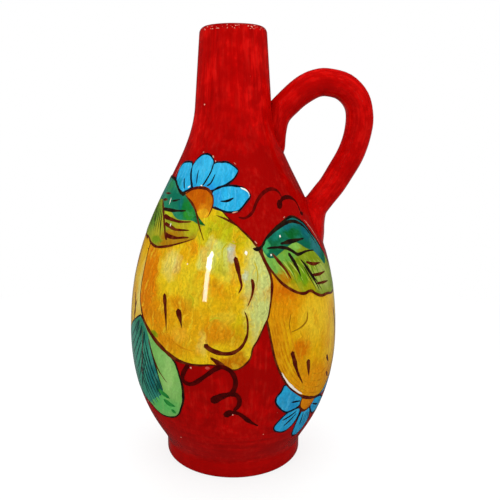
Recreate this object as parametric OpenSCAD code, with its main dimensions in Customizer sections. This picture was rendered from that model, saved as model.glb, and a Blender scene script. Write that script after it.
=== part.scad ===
// Oil and vinegar cruet of glazed earthenware.
// A thrown bottle stands on a luted foot ring. One pulled loop handle runs from the neck
// to the shoulder, with soft clay worked into both of its joints, and a glaze coat lines
// the inside. The origin is the centre of the foot on the table, +Z is up and the handle
// stands along +X.

/* [Bottle] */
// Height from the table to the top of the lip
height = 240; // [232:1:250]
// Widest diameter of the belly
belly_d = 117.4; // [112:0.2:124]
// Height of the widest place on the belly
belly_z = 73; // [68:1:78]
// Diameter of the neck where the shoulder ends
neck_d = 41.4; // [39:0.2:44]
// Height where the shoulder ends and the neck begins
neck_z = 199; // [195:1:204]
// Outer diameter of the lip
lip_d = 36; // [35.2:0.2:38]
// Thickness of the clay wall at the belly
wall = 5.5; // [4:0.1:7]
// Thickness of the clay floor
floor_t = 6; // [4:0.1:8]

/* [Mouth] */
// Diameter of the glazed mouth, which takes a cork or a pourer
mouth_d = 22; // [18:0.2:22.8]
// Length of the straight mouth below the lip
mouth_l = 44; // [35:1:50]
// Thickness of the glaze coat inside
lining_t = 0.5; // [0.3:0.1:0.9]

/* [Foot] */
// Diameter of the foot ring
foot_d = 78.6; // [74:0.2:84]
// Height of the foot ring
foot_h = 8.8; // [7:0.2:11]
// Width of the face that the foot ring stands on
foot_w = 8; // [6:0.5:12]

/* [Handle] */
// Thickness of the handle bar, seen from the side
handle_d = 14.8; // [12:0.2:16]
// Width of the handle bar, seen from behind
handle_w = 16; // [13:0.2:18]
// Height of the top of the loop
loop_top = 219; // [214:1:224]
// Distance of the top of the loop from the bottle's axis
loop_x = 50.5; // [48:0.5:53]
// Angle at which the bar rises from the neck
rise_deg = 43; // [38:1:48]
// Angle to the upright at which the bar runs down to the shoulder
fall_deg = 36; // [33:1:39]

/* [Lutes] */
// Height of the lower end of the upper lute
upper_tail_z = 173; // [168:1:178]
// Half angle that the upper lute covers on the neck
upper_spread = 18; // [10:1:22]
// Height of the lower end of the lower lute
lower_tail_z = 122; // [116:1:128]
// Half angle that the lower lute covers on the shoulder
lower_spread = 20; // [12:1:26]

/* [Hidden] */
$fn = 96;

// Radii of the main turned sizes
belly_r = belly_d / 2;
neck_r = neck_d / 2;
lip_r = lip_d / 2;
mouth_r = mouth_d / 2;
foot_r = foot_d / 2;
handle_r = handle_d / 2;
handle_half_w = handle_w / 2;

// How far each stretch of the turned outline keeps its end direction
foot_pull = 7.3;
foot_lean = 80;
lower_pull = 41;
upper_pull = 68;
neck_pull = 34.5;
curve_steps = 18;

// Rounded edges of the lip and the foot
lip_out_edge = 3.8;
lip_in_edge = 2.2;
foot_edge = 1.6;
arc_steps = 6;

// Inside of the clay shell
floor_z = foot_h + floor_t;
bore_r = mouth_r + lining_t;
bore_z = height - mouth_l;
rim_z = height - lip_in_edge;
inner_pull = 30;

// Bends of the handle's middle line, from the neck over the top to the shoulder
rise_bend = 22;
top_bend = 18.2;
fall_bend = 50;
top_z = loop_top - handle_r;
fall_x = loop_x + top_bend;
fall_z = top_z - top_bend;

// Ends of the bends, and how far the straight stretches run from them into the bottle
rise_end = [loop_x - rise_bend * sin(rise_deg), top_z - rise_bend * (1 - cos(rise_deg))];
fall_end = [fall_x - fall_bend * (1 - cos(fall_deg)), fall_z - fall_bend * sin(fall_deg)];
rise_l = 28;
fall_l = 34;

// Steps in each bend, and sides of the bar
rise_steps = 5;
top_steps = 10;
fall_steps = 5;
bar_sides = 20;

// Where the lutes start on the straight stretches, how far their tongues reach up the wall,
// and the thin rounded edge that they run out to
upper_root_l = 17.4;
lower_root_l = 25.4;
upper_tongue = 12;
lower_tongue = 14;
lute_edge_d = 2.4;
lute_sink = 0.7;
lute_fn = 16;
tongue_step = 30;

// Points of a cubic curve from a to d, drawn towards b and c, without the point a
function curve(a, b, c, d) = [
    for (i = [1:curve_steps])
    let (t = i / curve_steps, s = 1 - t)
    s * s * s * a + 3 * s * s * t * b + 3 * s * t * t * c + t * t * t * d
];

// Points of a round edge of radius r about a centre, between two angles
function edge(centre, r, from, to) = [
    for (i = [0:arc_steps])
    let (a = from + (to - from) * i / arc_steps)
    centre + r * [cos(a), sin(a)]
];

// Turned outside of the bottle from the foot up to the top of the lip
neck_slope = (lip_r - neck_r) / (height - lip_out_edge - neck_z);
outer_wall = concat(
    [[foot_r, foot_h]],
    curve([foot_r, foot_h],
          [foot_r, foot_h] + foot_pull * [cos(foot_lean), sin(foot_lean)],
          [belly_r, belly_z - lower_pull],
          [belly_r, belly_z]),
    curve([belly_r, belly_z],
          [belly_r, belly_z + upper_pull],
          [neck_r - neck_slope * neck_pull, neck_z - neck_pull],
          [neck_r, neck_z]),
    edge([lip_r - lip_out_edge, height - lip_out_edge], lip_out_edge, 0, 90)
);

// Turned inside of the bottle from the floor up to the straight mouth, drawn in by a gap
function inner_wall(gap) = concat(
    [[0, floor_z + gap], [foot_r - wall - gap, floor_z + gap]],
    curve([foot_r - wall - gap, floor_z + gap],
          [foot_r - gap, floor_z + foot_pull],
          [belly_r - wall - gap, belly_z - lower_pull],
          [belly_r - wall - gap, belly_z]),
    curve([belly_r - wall - gap, belly_z],
          [belly_r - wall - gap, belly_z + upper_pull],
          [bore_r - gap, bore_z - inner_pull],
          [bore_r - gap, bore_z])
);

// Radius of the bottle's outside at a height
function wall_r(z) = lookup(z, [for (p = outer_wall) [p[1], p[0]]]);

// The bottle's outside as one full solid, which the applied pieces are cut to
module bottle_form() {
    rotate_extrude() polygon(concat([[0, foot_h]], outer_wall, [[0, height]]));
}

// Point at a distance from a start, along a heading measured from +X towards +Z
function along(start, heading, l) = start + l * [cos(heading), sin(heading)];

// Middle line of the handle as stations of X, Z and heading
bar_line = concat(
    [concat(along(rise_end, rise_deg, -rise_l), rise_deg)],
    [for (i = [0:rise_steps])
        let (a = rise_deg * (1 - i / rise_steps))
        [loop_x - rise_bend * sin(a), top_z - rise_bend * (1 - cos(a)), a]],
    [for (i = [1:top_steps])
        let (a = 90 * i / top_steps)
        [loop_x + top_bend * sin(a), top_z - top_bend * (1 - cos(a)), -a]],
    [for (i = [1:fall_steps])
        let (a = fall_deg * i / fall_steps)
        [fall_x - fall_bend * (1 - cos(a)), fall_z - fall_bend * sin(a), -90 - a]],
    [concat(along(fall_end, -90 - fall_deg, fall_l), -90 - fall_deg)]
);

// Oval section of the bar about one station
function section(s) = [
    for (k = [0:bar_sides - 1])
    let (t = 360 * k / bar_sides, rise = handle_r * cos(t))
    [s[0] - rise * sin(s[2]), handle_half_w * sin(t), s[1] + rise * cos(s[2])]
];

// The whole bent bar, before its ends are cut to the bottle
module bent_bar() {
    last = len(bar_line) - 1;
    polyhedron(
        points = [for (s = bar_line) each section(s)],
        faces = concat(
            [[for (k = [bar_sides - 1:-1:0]) k]],
            [for (i = [0:last - 1])
                for (k = [0:bar_sides - 1])
                let (a = i * bar_sides + k, b = i * bar_sides + (k + 1) % bar_sides)
                each [[a, b, a + bar_sides], [b, b + bar_sides, a + bar_sides]]],
            [[for (k = [0:bar_sides - 1]) last * bar_sides + k]]
        ),
        convexity = 4
    );
}

// A rounded spot on the bottle's wall, where a lute runs out
module spot(angle, z) {
    rotate([0, 0, angle])
    translate([wall_r(z) - lute_sink, 0, z])
    sphere(d = lute_edge_d, $fn = lute_fn);
}

// Soft clay from a ball inside the bar down to a round-ended tongue on the wall
module lute(root, tail_z, tongue, spread) {
    difference() {
        hull() {
            translate([root[0], 0, root[1]]) sphere(d = handle_d, $fn = lute_fn);
            for (a = [-90:tongue_step:90])
                spot(spread * sin(a), tail_z + tongue * (1 - cos(a)));
        }
        bottle_form();
        bent_bar();
    }
}

module bottle() {
    color("firebrick")
    rotate_extrude()
    polygon(concat(
        [[0, foot_h]],
        outer_wall,
        edge([bore_r + lip_in_edge, rim_z], lip_in_edge, 90, 180),
        [for (i = [len(inner_wall(0)) - 1:-1:0]) inner_wall(0)[i]]
    ));
}

module foot_ring() {
    color("darkred")
    rotate_extrude()
    polygon(concat(
        edge([foot_r - foot_edge, foot_edge], foot_edge, -90, 0),
        [[foot_r, foot_h], [foot_r - foot_w - foot_edge, foot_h]],
        edge([foot_r - foot_w, foot_edge], foot_edge, 180, 270)
    ));
}

module handle() {
    color("red")
    difference() {
        bent_bar();
        bottle_form();
    }
}

module upper_lute() {
    color("crimson")
    lute(along(rise_end, rise_deg, -upper_root_l), upper_tail_z, upper_tongue, upper_spread);
}

module lower_lute() {
    color("crimson")
    lute(along(fall_end, -90 - fall_deg, lower_root_l), lower_tail_z, lower_tongue, lower_spread);
}

module lining() {
    color("ivory")
    rotate_extrude()
    polygon(concat(
        [for (i = [0:len(inner_wall(0)) - 1]) inner_wall(0)[i]],
        [[bore_r, rim_z], [mouth_r, rim_z]],
        [for (i = [len(inner_wall(lining_t)) - 1:-1:0]) inner_wall(lining_t)[i]]
    ));
}

bottle();
foot_ring();
handle();
upper_lute();
lower_lute();
lining();
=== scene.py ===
"""Looks of a glazed earthenware oil and vinegar cruet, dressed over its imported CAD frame.

Sizes are in millimetres and become metres where a mesh is made. The painting is drawn on a flat
sheet, s millimetres round the belly from the front and z millimetres above the table, and the
sheet is wrapped on the turned wall.
"""

import logging
import math
from bisect import bisect_right
from collections.abc import Sequence
from dataclasses import dataclass, replace
from enum import Enum

import bmesh
import bpy
from mathutils import Matrix, Vector, noise
from mathutils.geometry import interpolate_bezier


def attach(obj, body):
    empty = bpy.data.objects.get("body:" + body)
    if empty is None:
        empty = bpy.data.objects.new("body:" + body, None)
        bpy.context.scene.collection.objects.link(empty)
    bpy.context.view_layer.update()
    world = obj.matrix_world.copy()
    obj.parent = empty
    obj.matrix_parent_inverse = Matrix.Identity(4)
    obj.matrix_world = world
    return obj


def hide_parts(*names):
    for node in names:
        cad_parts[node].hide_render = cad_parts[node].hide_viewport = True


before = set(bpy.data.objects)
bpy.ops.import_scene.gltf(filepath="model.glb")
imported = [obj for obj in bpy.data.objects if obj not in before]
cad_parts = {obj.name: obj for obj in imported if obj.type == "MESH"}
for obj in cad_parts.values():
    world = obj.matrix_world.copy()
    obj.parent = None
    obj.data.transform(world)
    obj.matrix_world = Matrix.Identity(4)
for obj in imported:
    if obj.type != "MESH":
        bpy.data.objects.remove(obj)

LOG = logging.getLogger("cruet")
MM = 0.001
SHARP_FROM = math.radians(50.0)
RIGHT_ANGLE = 90.0
SAME_POINT = 1e-6
WELD_REACH = 1e-7
UNEVEN_SIZE = 3.0
# A smooth line leaves a point by this part of the way between the points on both its sides
LEAVING_PART = 6
WHITE = (1.0, 1.0, 1.0, 1.0)
Point = tuple[float, float]
Point3 = tuple[float, float, float]
Colour = tuple[float, float, float, float]
Tree = bpy.types.NodeTree
Socket = bpy.types.NodeSocket


def linear(code: str) -> Colour:
    """Turns an sRGB hex colour into a linear one.

    Args:
        code: Colour as a hash mark and six hex digits.

    Returns:
        Linear red, green, blue and an alpha of one.
    """
    shares = [int(code[i:i + 2], 16) / 255 for i in (1, 3, 5)]
    lit = [v / 12.92 if v <= 0.04045 else ((v + 0.055) / 1.055) ** 2.4 for v in shares]
    return lit[0], lit[1], lit[2], 1.0


def add(tree: Tree, kind: str, inputs: dict[int | str, object] | None = None,
        **settings: str | bool) -> bpy.types.Node:
    """Adds one shader node.

    Args:
        tree: Node tree that takes the node.
        kind: Blender's name of the node without its ShaderNode prefix.
        inputs: A value or an output socket for each input, by name or number.
        settings: Values of the node's own settings.

    Returns:
        The new node.
    """
    node = tree.nodes.new("ShaderNode" + kind)
    for name, value in settings.items():
        setattr(node, name, value)
    for key, value in (inputs or {}).items():
        if isinstance(value, Socket):
            tree.links.new(value, node.inputs[key])
        else:
            node.inputs[key].default_value = value
    return node


def ramp(tree: Tree, value: Socket, span: Point, to: Point = (0.0, 1.0)) -> Socket:
    """Adds a node that maps one span of values to another and holds them at its ends.

    Args:
        tree: Node tree that takes the node.
        value: Socket with the values.
        span: Values that give the first and the last result.
        to: First and last result.

    Returns:
        Socket with the results.
    """
    return add(tree, "MapRange", {"Value": value, "From Min": span[0], "From Max": span[1],
                                  "To Min": to[0], "To Max": to[1]}).outputs["Result"]


def between(tree: Tree, share: Socket | float, first: Socket | float, last: Socket | float) -> Socket:
    """Adds a node that gives a value between two others.

    Args:
        tree: Node tree that takes the node.
        share: How far the value lies from the first to the last.
        first: Value at a share of 0.
        last: Value at a share of 1.

    Returns:
        Socket with the value.
    """
    # A mix node has its plain values at 2 and 3
    return add(tree, "Mix", {0: share, 2: first, 3: last}).outputs[0]


def blend(tree: Tree, share: Socket | float, under: Socket | Colour, over: Socket | Colour) -> Socket:
    """Adds a node that lays one colour over another.

    Args:
        tree: Node tree that takes the node.
        share: How far the upper colour covers the lower one.
        under: Lower colour.
        over: Upper colour.

    Returns:
        Socket with the colour.
    """
    # A mix node has its colours at 6 and 7 and gives theirs at 2
    return add(tree, "Mix", {0: share, 6: under, 7: over}, data_type="RGBA").outputs[2]


def work_out(tree: Tree, operation: str, first: Socket, second: Socket | float,
             clamped: bool = False) -> Socket:
    """Adds a node that works out one value from two.

    Args:
        tree: Node tree that takes the node.
        operation: Blender's name of the sum.
        first: First value.
        second: Second value.
        clamped: Whether the result is kept from 0 to 1.

    Returns:
        Socket with the result.
    """
    return add(tree, "Math", {0: first, 1: second}, operation=operation, use_clamp=clamped).outputs[0]


def smooth_line(points: Sequence[Point | Point3], closed: bool, steps: int) -> list[Vector]:
    """Draws a smooth line through a few points.

    Args:
        points: Points in millimetres, flat ones at a third number of 0; one given twice is a corner.
        closed: Whether the line runs back to its first point.
        steps: Short straight steps between two points.

    Returns:
        Points along the line, the last one included where it is open.
    """
    knots = [Vector((*p, 0.0)[:3]) for p in points]
    count = len(knots)
    line: list[Vector] = []
    for i in range(count if closed else count - 1):
        a, b = knots[i], knots[(i + 1) % count]
        if (b - a).length < SAME_POINT:
            continue
        before = knots[(i - 1) % count] if closed or i > 0 else a
        after = knots[(i + 2) % count] if closed or i + 2 < count else b
        leave = a + (b - before) / LEAVING_PART
        arrive = b - (after - a) / LEAVING_PART
        line += interpolate_bezier(a, leave, arrive, b, steps + 1)[:-1]
    return line if closed else line + [knots[-1]]


@dataclass(frozen=True)
class GlazeCoat:
    """Clear glaze that is fired over every colour: it pools, so it shines and ripples a little."""

    roughness: float = 0.04
    ior: float = 1.5
    ripple: float = 11.0
    ripple_detail: float = 1.0
    depth: float = 0.05

    def close(self, tree: Tree, colour: Socket, relief: Socket | None = None,
              relief_depth: float = 0.0) -> None:
        """Adds the shader and the output under a colour.

        Args:
            tree: Node tree of the material.
            colour: Socket that gives the colour under the glaze.
            relief: Socket that gives the height of brush marks, where they can be felt.
            relief_depth: Depth of those marks.
        """
        place = add(tree, "TexCoord").outputs["Object"]
        pools = add(tree, "TexNoise", {
            "Vector": place, "Scale": 1 / (self.ripple * MM), "Detail": self.ripple_detail})
        bump = add(tree, "Bump", {"Height": pools.outputs["Fac"], "Distance": self.depth * MM})
        if relief is not None:
            bump = add(tree, "Bump", {"Height": relief, "Distance": relief_depth * MM,
                                      "Normal": bump.outputs["Normal"]})
        shader = add(tree, "BsdfPrincipled", {
            "Base Color": colour, "Roughness": self.roughness, "IOR": self.ior,
            "Normal": bump.outputs["Normal"]})
        add(tree, "OutputMaterial", {"Surface": shader.outputs["BSDF"]})


COAT = GlazeCoat()


def blank_material(name: str) -> bpy.types.Material:
    """Makes a material with an empty node tree.

    Args:
        name: Name of the material.

    Returns:
        The material.
    """
    material = bpy.data.materials.new(name)
    material.use_nodes = True
    material.node_tree.nodes.clear()
    return material


class Brush(Enum):
    """Length of brush marks along X, Y and Z, for each way the ground colour was brushed."""

    UP = (1.7, 1.7, 36.0)
    ROUND = (40.0, 40.0, 2.0)
    ALONG = (20.0, 1.7, 1.7)


@dataclass(frozen=True)
class GroundGlaze:
    """Red underglaze brushed on biscuit: streaks of thick and thin colour under a clear glaze.

    A span holds the values of a noise or the heights between which an effect comes in.
    """

    name: str
    deep: str
    middle: str
    bright: str
    brush: Brush
    low_brush: Brush | None = None
    flecks_above: float | None = None

    # Streaks of the brush, which are calm in some places and crowded in others
    streak_detail: float = 3.0
    streak_roughness: float = 0.58
    streak_span: Point = (0.34, 0.66)
    crowd_size: float = 6.0
    crowd_span: Point = (0.32, 0.6)
    calm: float = 0.5

    # Brushing round the bottle over the foot
    low_heights: Point = (46.0, 24.0)
    low_span: Point = (0.24, 0.76)
    low_clouded: float = 0.3

    # Clouds of thick and thin colour, a large and a small kind
    cloud_sizes: Point = (16.0, 4.6)
    cloud_details: Point = (4.0, 5.0)
    cloud_span: Point = (0.42, 0.58)
    small_clouds: float = 0.45
    clouded: float = 0.5
    neck_heights: Point = (168.0, 208.0)
    neck_clouded: Point = (0.68, 0.45)

    # Darker belly: colour that gathered there, and painted shade that is strongest below the shoulder
    pooled_shade_top: Point = (196.0, 156.0)
    pooled_shade_low: Point = (36.0, 56.0)
    pooled_shade_below: float = 0.35
    pooled_shade_heights: Point = (105.0, 140.0)
    pooled_shade_shares: Point = (0.5, 0.74)

    # Thin colour, rubbed streaks and pinholes
    thin_span: Point = (0.55, 0.95)
    scuffed: str = "#E23A2C"
    scuff_size: float = 0.9
    scuff_span: Point = (0.48, 0.8)
    rubbed: float = 0.24
    bare: str = "#E8B8A4"
    hole_spacing: float = 10.0
    hole_span: Point = (0.044, 0.026)
    felt: float = 0.03

    # Pale flecks along the edge of the lip, and its darker top
    fleck_reach: float = 1.2
    fleck_size: float = 0.8
    fleck_detail: float = 1.0
    fleck_span: Point = (0.65, 0.71)
    rim: str = "#7A0000"
    rim_span: Point = (-1.6, 1.4)
    rim_most: float = 0.8

    def places(self, tree: Tree) -> Socket:
        """Adds places on the piece, along the bar where it was brushed along.

        Args:
            tree: Node tree of the material.

        Returns:
            Socket with the places in millimetres.
        """
        if self.brush is Brush.ALONG:
            return add(tree, "Attribute", attribute_name="bar").outputs["Vector"]
        metres = add(tree, "TexCoord").outputs["Object"]
        return add(tree, "VectorMath", {0: metres, "Scale": 1 / MM}, operation="SCALE").outputs[0]

    def streaks(self, tree: Tree, place: Socket, brush: Brush, size: float = 1.0,
                span: Point | None = None) -> Socket:
        """Adds the streaks that one way of brushing leaves.

        Args:
            tree: Node tree of the material.
            place: Socket with places on the piece, in millimetres.
            brush: Way of brushing.
            size: Size of the marks as a share of the brush's own.
            span: Values of the noise that give no mark and a full mark, where they aren't the usual ones.

        Returns:
            Socket with the streaks from 0 to 1.
        """
        stretched = add(tree, "Mapping", {"Vector": place, "Scale": [1 / (v * size) for v in brush.value]})
        marks = add(tree, "TexNoise", {"Vector": stretched.outputs["Vector"], "Scale": 1.0,
                                       "Detail": self.streak_detail, "Roughness": self.streak_roughness})
        return ramp(tree, marks.outputs["Fac"], span or self.streak_span)

    def brushed_low(self, tree: Tree, place: Socket, marks: Socket) -> tuple[Socket, Socket]:
        """Turns the brush over the foot, and changes how much the clouds show from foot to neck.

        Args:
            tree: Node tree of the material.
            place: Socket with places on the piece, in millimetres.
            marks: Streaks of the upper part.

        Returns:
            Sockets with all the streaks and with the share of the clouds.
        """
        height = add(tree, "SeparateXYZ", {0: place}).outputs["Z"]
        low = ramp(tree, height, self.low_heights)
        round_marks = self.streaks(tree, place, self.low_brush, 1.0, self.low_span)
        both = between(tree, low, marks, round_marks)
        share = ramp(tree, height, self.neck_heights, self.neck_clouded)
        return both, between(tree, low, share, self.low_clouded)

    def clouds(self, tree: Tree, place: Socket) -> Socket:
        """Adds large and small clouds.

        Args:
            tree: Node tree of the material.
            place: Socket with places on the piece, in millimetres.

        Returns:
            Socket with the clouds from 0 to 1.
        """
        layers = []
        for size, detail in zip(self.cloud_sizes, self.cloud_details):
            cloud = add(tree, "TexNoise", {"Vector": place, "Scale": 1 / size, "Detail": detail})
            layers.append(ramp(tree, cloud.outputs["Fac"], self.cloud_span))
        return between(tree, self.small_clouds, *layers)

    def material(self) -> bpy.types.Material:
        """Makes the material.

        Returns:
            The material.
        """
        material = blank_material(self.name)
        tree = material.node_tree
        place = self.places(tree)
        crowded = self.streaks(tree, place, self.brush, self.crowd_size, self.crowd_span)
        marks = between(tree, crowded, self.calm, self.streaks(tree, place, self.brush))
        share: float | Socket = self.clouded
        if self.low_brush is not None:
            marks, share = self.brushed_low(tree, place, marks)
        broad = self.clouds(tree, place)
        tone = between(tree, share, marks, broad)
        # Darker belly: gathered colour and painted shade
        if self.low_brush is not None:
            tone = self.pool_and_shade_belly(tree, place, tone)
        body = blend(tree, tone, linear(self.deep), linear(self.middle))
        thin = ramp(tree, tone, self.thin_span)
        colour = blend(tree, thin, body, linear(self.bright))
        scuffs = self.streaks(tree, place, self.brush, self.scuff_size, self.scuff_span)
        patches = work_out(tree, "MULTIPLY", scuffs, broad)
        light = work_out(tree, "MULTIPLY", patches, self.rubbed)
        colour = blend(tree, light, colour, linear(self.scuffed))
        holes = add(tree, "TexVoronoi", {"Vector": place, "Scale": 1 / self.hole_spacing})
        bare = ramp(tree, holes.outputs["Distance"], self.hole_span)
        colour = blend(tree, bare, colour, linear(self.bare))
        if self.flecks_above is not None:
            colour = self.flecked_lip_edge(tree, place, colour)
        COAT.close(tree, colour, marks, self.felt)
        return material

    def pool_and_shade_belly(self, tree: Tree, place: Socket, tone: Socket) -> Socket:
        """Darkens the belly more than the neck and the part over the foot: colour that gathered there, and
        painted shade, strongest below the shoulder.

        Args:
            tree: Node tree of the material.
            place: Socket with places on the piece, in millimetres.
            tone: Tone of the brushed colour.

        Returns:
            Socket with the darker tone.
        """
        height = add(tree, "SeparateXYZ", {0: place}).outputs["Z"]
        above = ramp(tree, height, self.pooled_shade_top)
        below = ramp(tree, height, self.pooled_shade_low, (self.pooled_shade_below, 1.0))
        both = work_out(tree, "MULTIPLY", above, below)
        # The painted shade is strongest below the shoulder, which faces the top lamps
        most = ramp(tree, height, self.pooled_shade_heights, self.pooled_shade_shares)
        less = work_out(tree, "MULTIPLY", both, most)
        return work_out(tree, "SUBTRACT", tone, less, clamped=True)

    def flecked_lip_edge(self, tree: Tree, place: Socket, colour: Socket) -> Socket:
        """Adds small pale flecks along the edge of the lip, and darkens its top.

        Args:
            tree: Node tree of the material.
            place: Socket with places on the piece, in millimetres.
            colour: Colour of the piece without flecks.

        Returns:
            Socket with the flecked colour.
        """
        height = add(tree, "SeparateXYZ", {0: place}).outputs["Z"]
        rise = work_out(tree, "SUBTRACT", height, self.flecks_above)
        edge = add(tree, "Math", {0: rise, 1: 0.0, 2: self.fleck_reach}, operation="COMPARE").outputs[0]
        specks = add(tree, "TexNoise", {
            "Vector": place, "Scale": 1 / self.fleck_size, "Detail": self.fleck_detail})
        bare = ramp(tree, specks.outputs["Fac"], self.fleck_span)
        share = work_out(tree, "MULTIPLY", edge, bare)
        top = ramp(tree, rise, self.rim_span, (0.0, self.rim_most))
        dark = blend(tree, top, colour, linear(self.rim))
        return blend(tree, share, dark, linear(self.bare))


@dataclass(frozen=True)
class Spot:
    """A soft oval of another colour in a wash, with its middle, half sizes and turn on the sheet.

    Its edge is the harder the more its gain, and its colour covers the wash at most by the last share.
    """

    colour: str
    middle: Point
    size: Point
    turn: float = 0.0
    gain: float = 1.8
    most: float = 1.0


@dataclass(frozen=True)
class Marks:
    """One kind of brush mark: its length and width, the finer marks in it and its place in the noise."""

    size: Point
    detail: float
    away: float = 0.0


@dataclass(frozen=True)
class WashPaint:
    """Thin underglaze colour laid with a wet brush: it pools, runs into its neighbour and shows strokes."""

    name: str
    base: str
    thick: str
    thin: str
    spots: tuple[Spot, ...] = ()
    mottle: float = 0.5
    turn: float = 84.0
    change: float = 0.2

    # How far and how finely the wet colour ran
    drift: float = 9.0
    run_size: float = 6.0
    run_detail: float = 5.0
    run_roughness: float = 0.62

    # Pools of thick and thin colour, and the marks of the brush's hairs and the clay's grain
    thick_pools: Marks = Marks((13.0, 8.0), 3.0)
    thick_span: Point = (0.48, 0.66)
    thin_pools: Marks = Marks((11.0, 2.4), 4.0, 90.0)
    thin_span: Point = (0.52, 0.7)
    hairs: Marks = Marks((6.0, 0.9), 4.0, 40.0)
    grain: Marks = Marks((1.5, 1.5), 4.0, 20.0)
    grained: float = 0.4
    mark_span: Point = (0.34, 0.66)
    mark_roughness: float = 0.6

    def noise(self, tree: Tree, sheet: Socket, marks: Marks) -> Socket:
        """Adds noise that is drawn out along the brush.

        Args:
            tree: Node tree of the material.
            sheet: Socket with places on the sheet.
            marks: Kind of mark that the noise makes.

        Returns:
            Socket with values about one half.
        """
        brushed = add(tree, "Mapping", {
            "Vector": sheet, "Location": (marks.away, marks.away, 0.0),
            "Rotation": (0.0, 0.0, math.radians(self.turn)), "Scale": (*marks.size, 1.0),
        }, vector_type="TEXTURE").outputs[0]
        return add(tree, "TexNoise", {"Vector": brushed, "Scale": 1.0, "Detail": marks.detail,
                                      "Roughness": self.mark_roughness}).outputs["Fac"]

    def run(self, tree: Tree, sheet: Socket) -> Socket:
        """Moves places about on the sheet, so that wet colours run into each other.

        Args:
            tree: Node tree of the material.
            sheet: Socket with places on the sheet.

        Returns:
            Socket with the moved places.
        """
        wander = add(tree, "TexNoise", {
            "Vector": sheet, "Scale": 1 / self.run_size, "Detail": self.run_detail,
            "Roughness": self.run_roughness}).outputs["Color"]
        half = (self.drift / 2, self.drift / 2, 0.0)
        start = add(tree, "VectorMath", {0: sheet, 1: half}, operation="SUBTRACT").outputs[0]
        return add(tree, "VectorMath", {0: wander, 1: (self.drift, self.drift, 0.0), 2: start},
                   operation="MULTIPLY_ADD").outputs[0]

    def material(self) -> bpy.types.Material:
        """Makes the material.

        Returns:
            The material.
        """
        material = blank_material(self.name)
        tree = material.node_tree
        sheet = add(tree, "Attribute", attribute_name="sheet").outputs["Vector"]
        wet = self.run(tree, sheet)
        colour = add(tree, "RGB").outputs[0]
        colour.default_value = linear(self.base)
        for spot in self.spots:
            local = add(tree, "Mapping", {
                "Vector": wet, "Location": (*spot.middle, 0.0), "Scale": (*spot.size, 1.0),
                "Rotation": (0.0, 0.0, math.radians(spot.turn))}, vector_type="TEXTURE").outputs[0]
            fade = add(tree, "TexGradient", {"Vector": local}, gradient_type="SPHERICAL").outputs["Fac"]
            share = ramp(tree, fade, (0.0, 1 / spot.gain), (0.0, spot.most))
            colour = blend(tree, share, colour, linear(spot.colour))
        pools = (
            (self.thick, self.thick_pools, self.thick_span),
            (self.thin, self.thin_pools, self.thin_span),
        )
        for tone, marks, span in pools:
            pool = ramp(tree, self.noise(tree, wet, marks), span, (0.0, self.mottle))
            colour = blend(tree, pool, colour, linear(tone))
        hairs = self.noise(tree, wet, self.hairs)
        grain = self.noise(tree, sheet, self.grain)
        brushed = between(tree, self.grained, hairs, grain)
        value = ramp(tree, brushed, self.mark_span, (1 - self.change, 1 + self.change))
        toned = add(tree, "HueSaturation", {"Value": value, "Color": colour}).outputs[0]
        COAT.close(tree, toned)
        return material


@dataclass(frozen=True)
class LinePaint:
    """Line drawn with a thin loaded brush: dark where the colour pooled, paler where the brush ran dry."""

    name: str
    pooled: str
    dry: str
    load_size: float = 4.0
    load_detail: float = 3.0
    load_span: Point = (0.42, 0.72)

    def material(self) -> bpy.types.Material:
        """Makes the material.

        Returns:
            The material.
        """
        material = blank_material(self.name)
        tree = material.node_tree
        sheet = add(tree, "Attribute", attribute_name="sheet").outputs["Vector"]
        load = add(tree, "TexNoise", {
            "Vector": sheet, "Scale": 1 / self.load_size, "Detail": self.load_detail})
        share = ramp(tree, load.outputs["Fac"], self.load_span)
        COAT.close(tree, blend(tree, share, linear(self.pooled), linear(self.dry)))
        return material


@dataclass(frozen=True)
class LiningGlaze:
    """White tin glaze poured round the inside: milky, with faint darker runs."""

    name: str = "White tin glaze, poured"
    milk: str = "#EDE6D6"
    run: str = "#D9CDB6"
    run_width: float = 6.0
    run_length: float = 50.0
    run_detail: float = 3.0

    def material(self) -> bpy.types.Material:
        """Makes the material.

        Returns:
            The material.
        """
        material = blank_material(self.name)
        tree = material.node_tree
        place = add(tree, "TexCoord").outputs["Object"]
        sizes = (self.run_width, self.run_width, self.run_length)
        stretched = add(tree, "Mapping", {"Vector": place, "Scale": [1 / (v * MM) for v in sizes]})
        runs = add(tree, "TexNoise", {
            "Vector": stretched.outputs[0], "Scale": 1.0, "Detail": self.run_detail})
        COAT.close(tree, blend(tree, runs.outputs["Fac"], linear(self.run), linear(self.milk)))
        return material


def finish_piece(bm: bmesh.types.BMesh, name: str, finishes: Sequence[bpy.types.Material],
                 replaced: Sequence[str] = ()) -> bpy.types.Object:
    """Turns a finished bmesh into a piece that rides on the body.

    Args:
        bm: Mesh in metres, which is freed.
        name: Name of the piece.
        finishes: Materials, in the order of the faces' material numbers.
        replaced: CAD nodes that the piece stands for.

    Returns:
        The piece.
    """
    for face in bm.faces:
        face.smooth = True
    for edge in bm.edges:
        edge.smooth = edge.calc_face_angle(0.0) < SHARP_FROM
    mesh = bpy.data.meshes.new(name)
    bm.to_mesh(mesh)
    bm.free()
    for material in finishes:
        mesh.materials.append(material)
    piece = bpy.data.objects.new(name, mesh)
    bpy.context.scene.collection.objects.link(piece)
    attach(piece, "root")
    if replaced:
        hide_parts(*replaced)
    LOG.info("%s: %d faces", name, len(mesh.polygons))
    return piece


def round_edge(x: float, z: float, r: float, start: float, steps: int) -> list[Point]:
    """Draws a quarter of a circle.

    Args:
        x: Distance of its middle from the axis.
        z: Height of its middle.
        r: Its radius.
        start: Angle of its first point in degrees.
        steps: Short straight steps along it.

    Returns:
        Radius and height of its points.
    """
    angles = [math.radians(start + RIGHT_ANGLE * i / steps) for i in range(steps + 1)]
    return [(x + r * math.cos(a), z + r * math.sin(a)) for a in angles]


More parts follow.
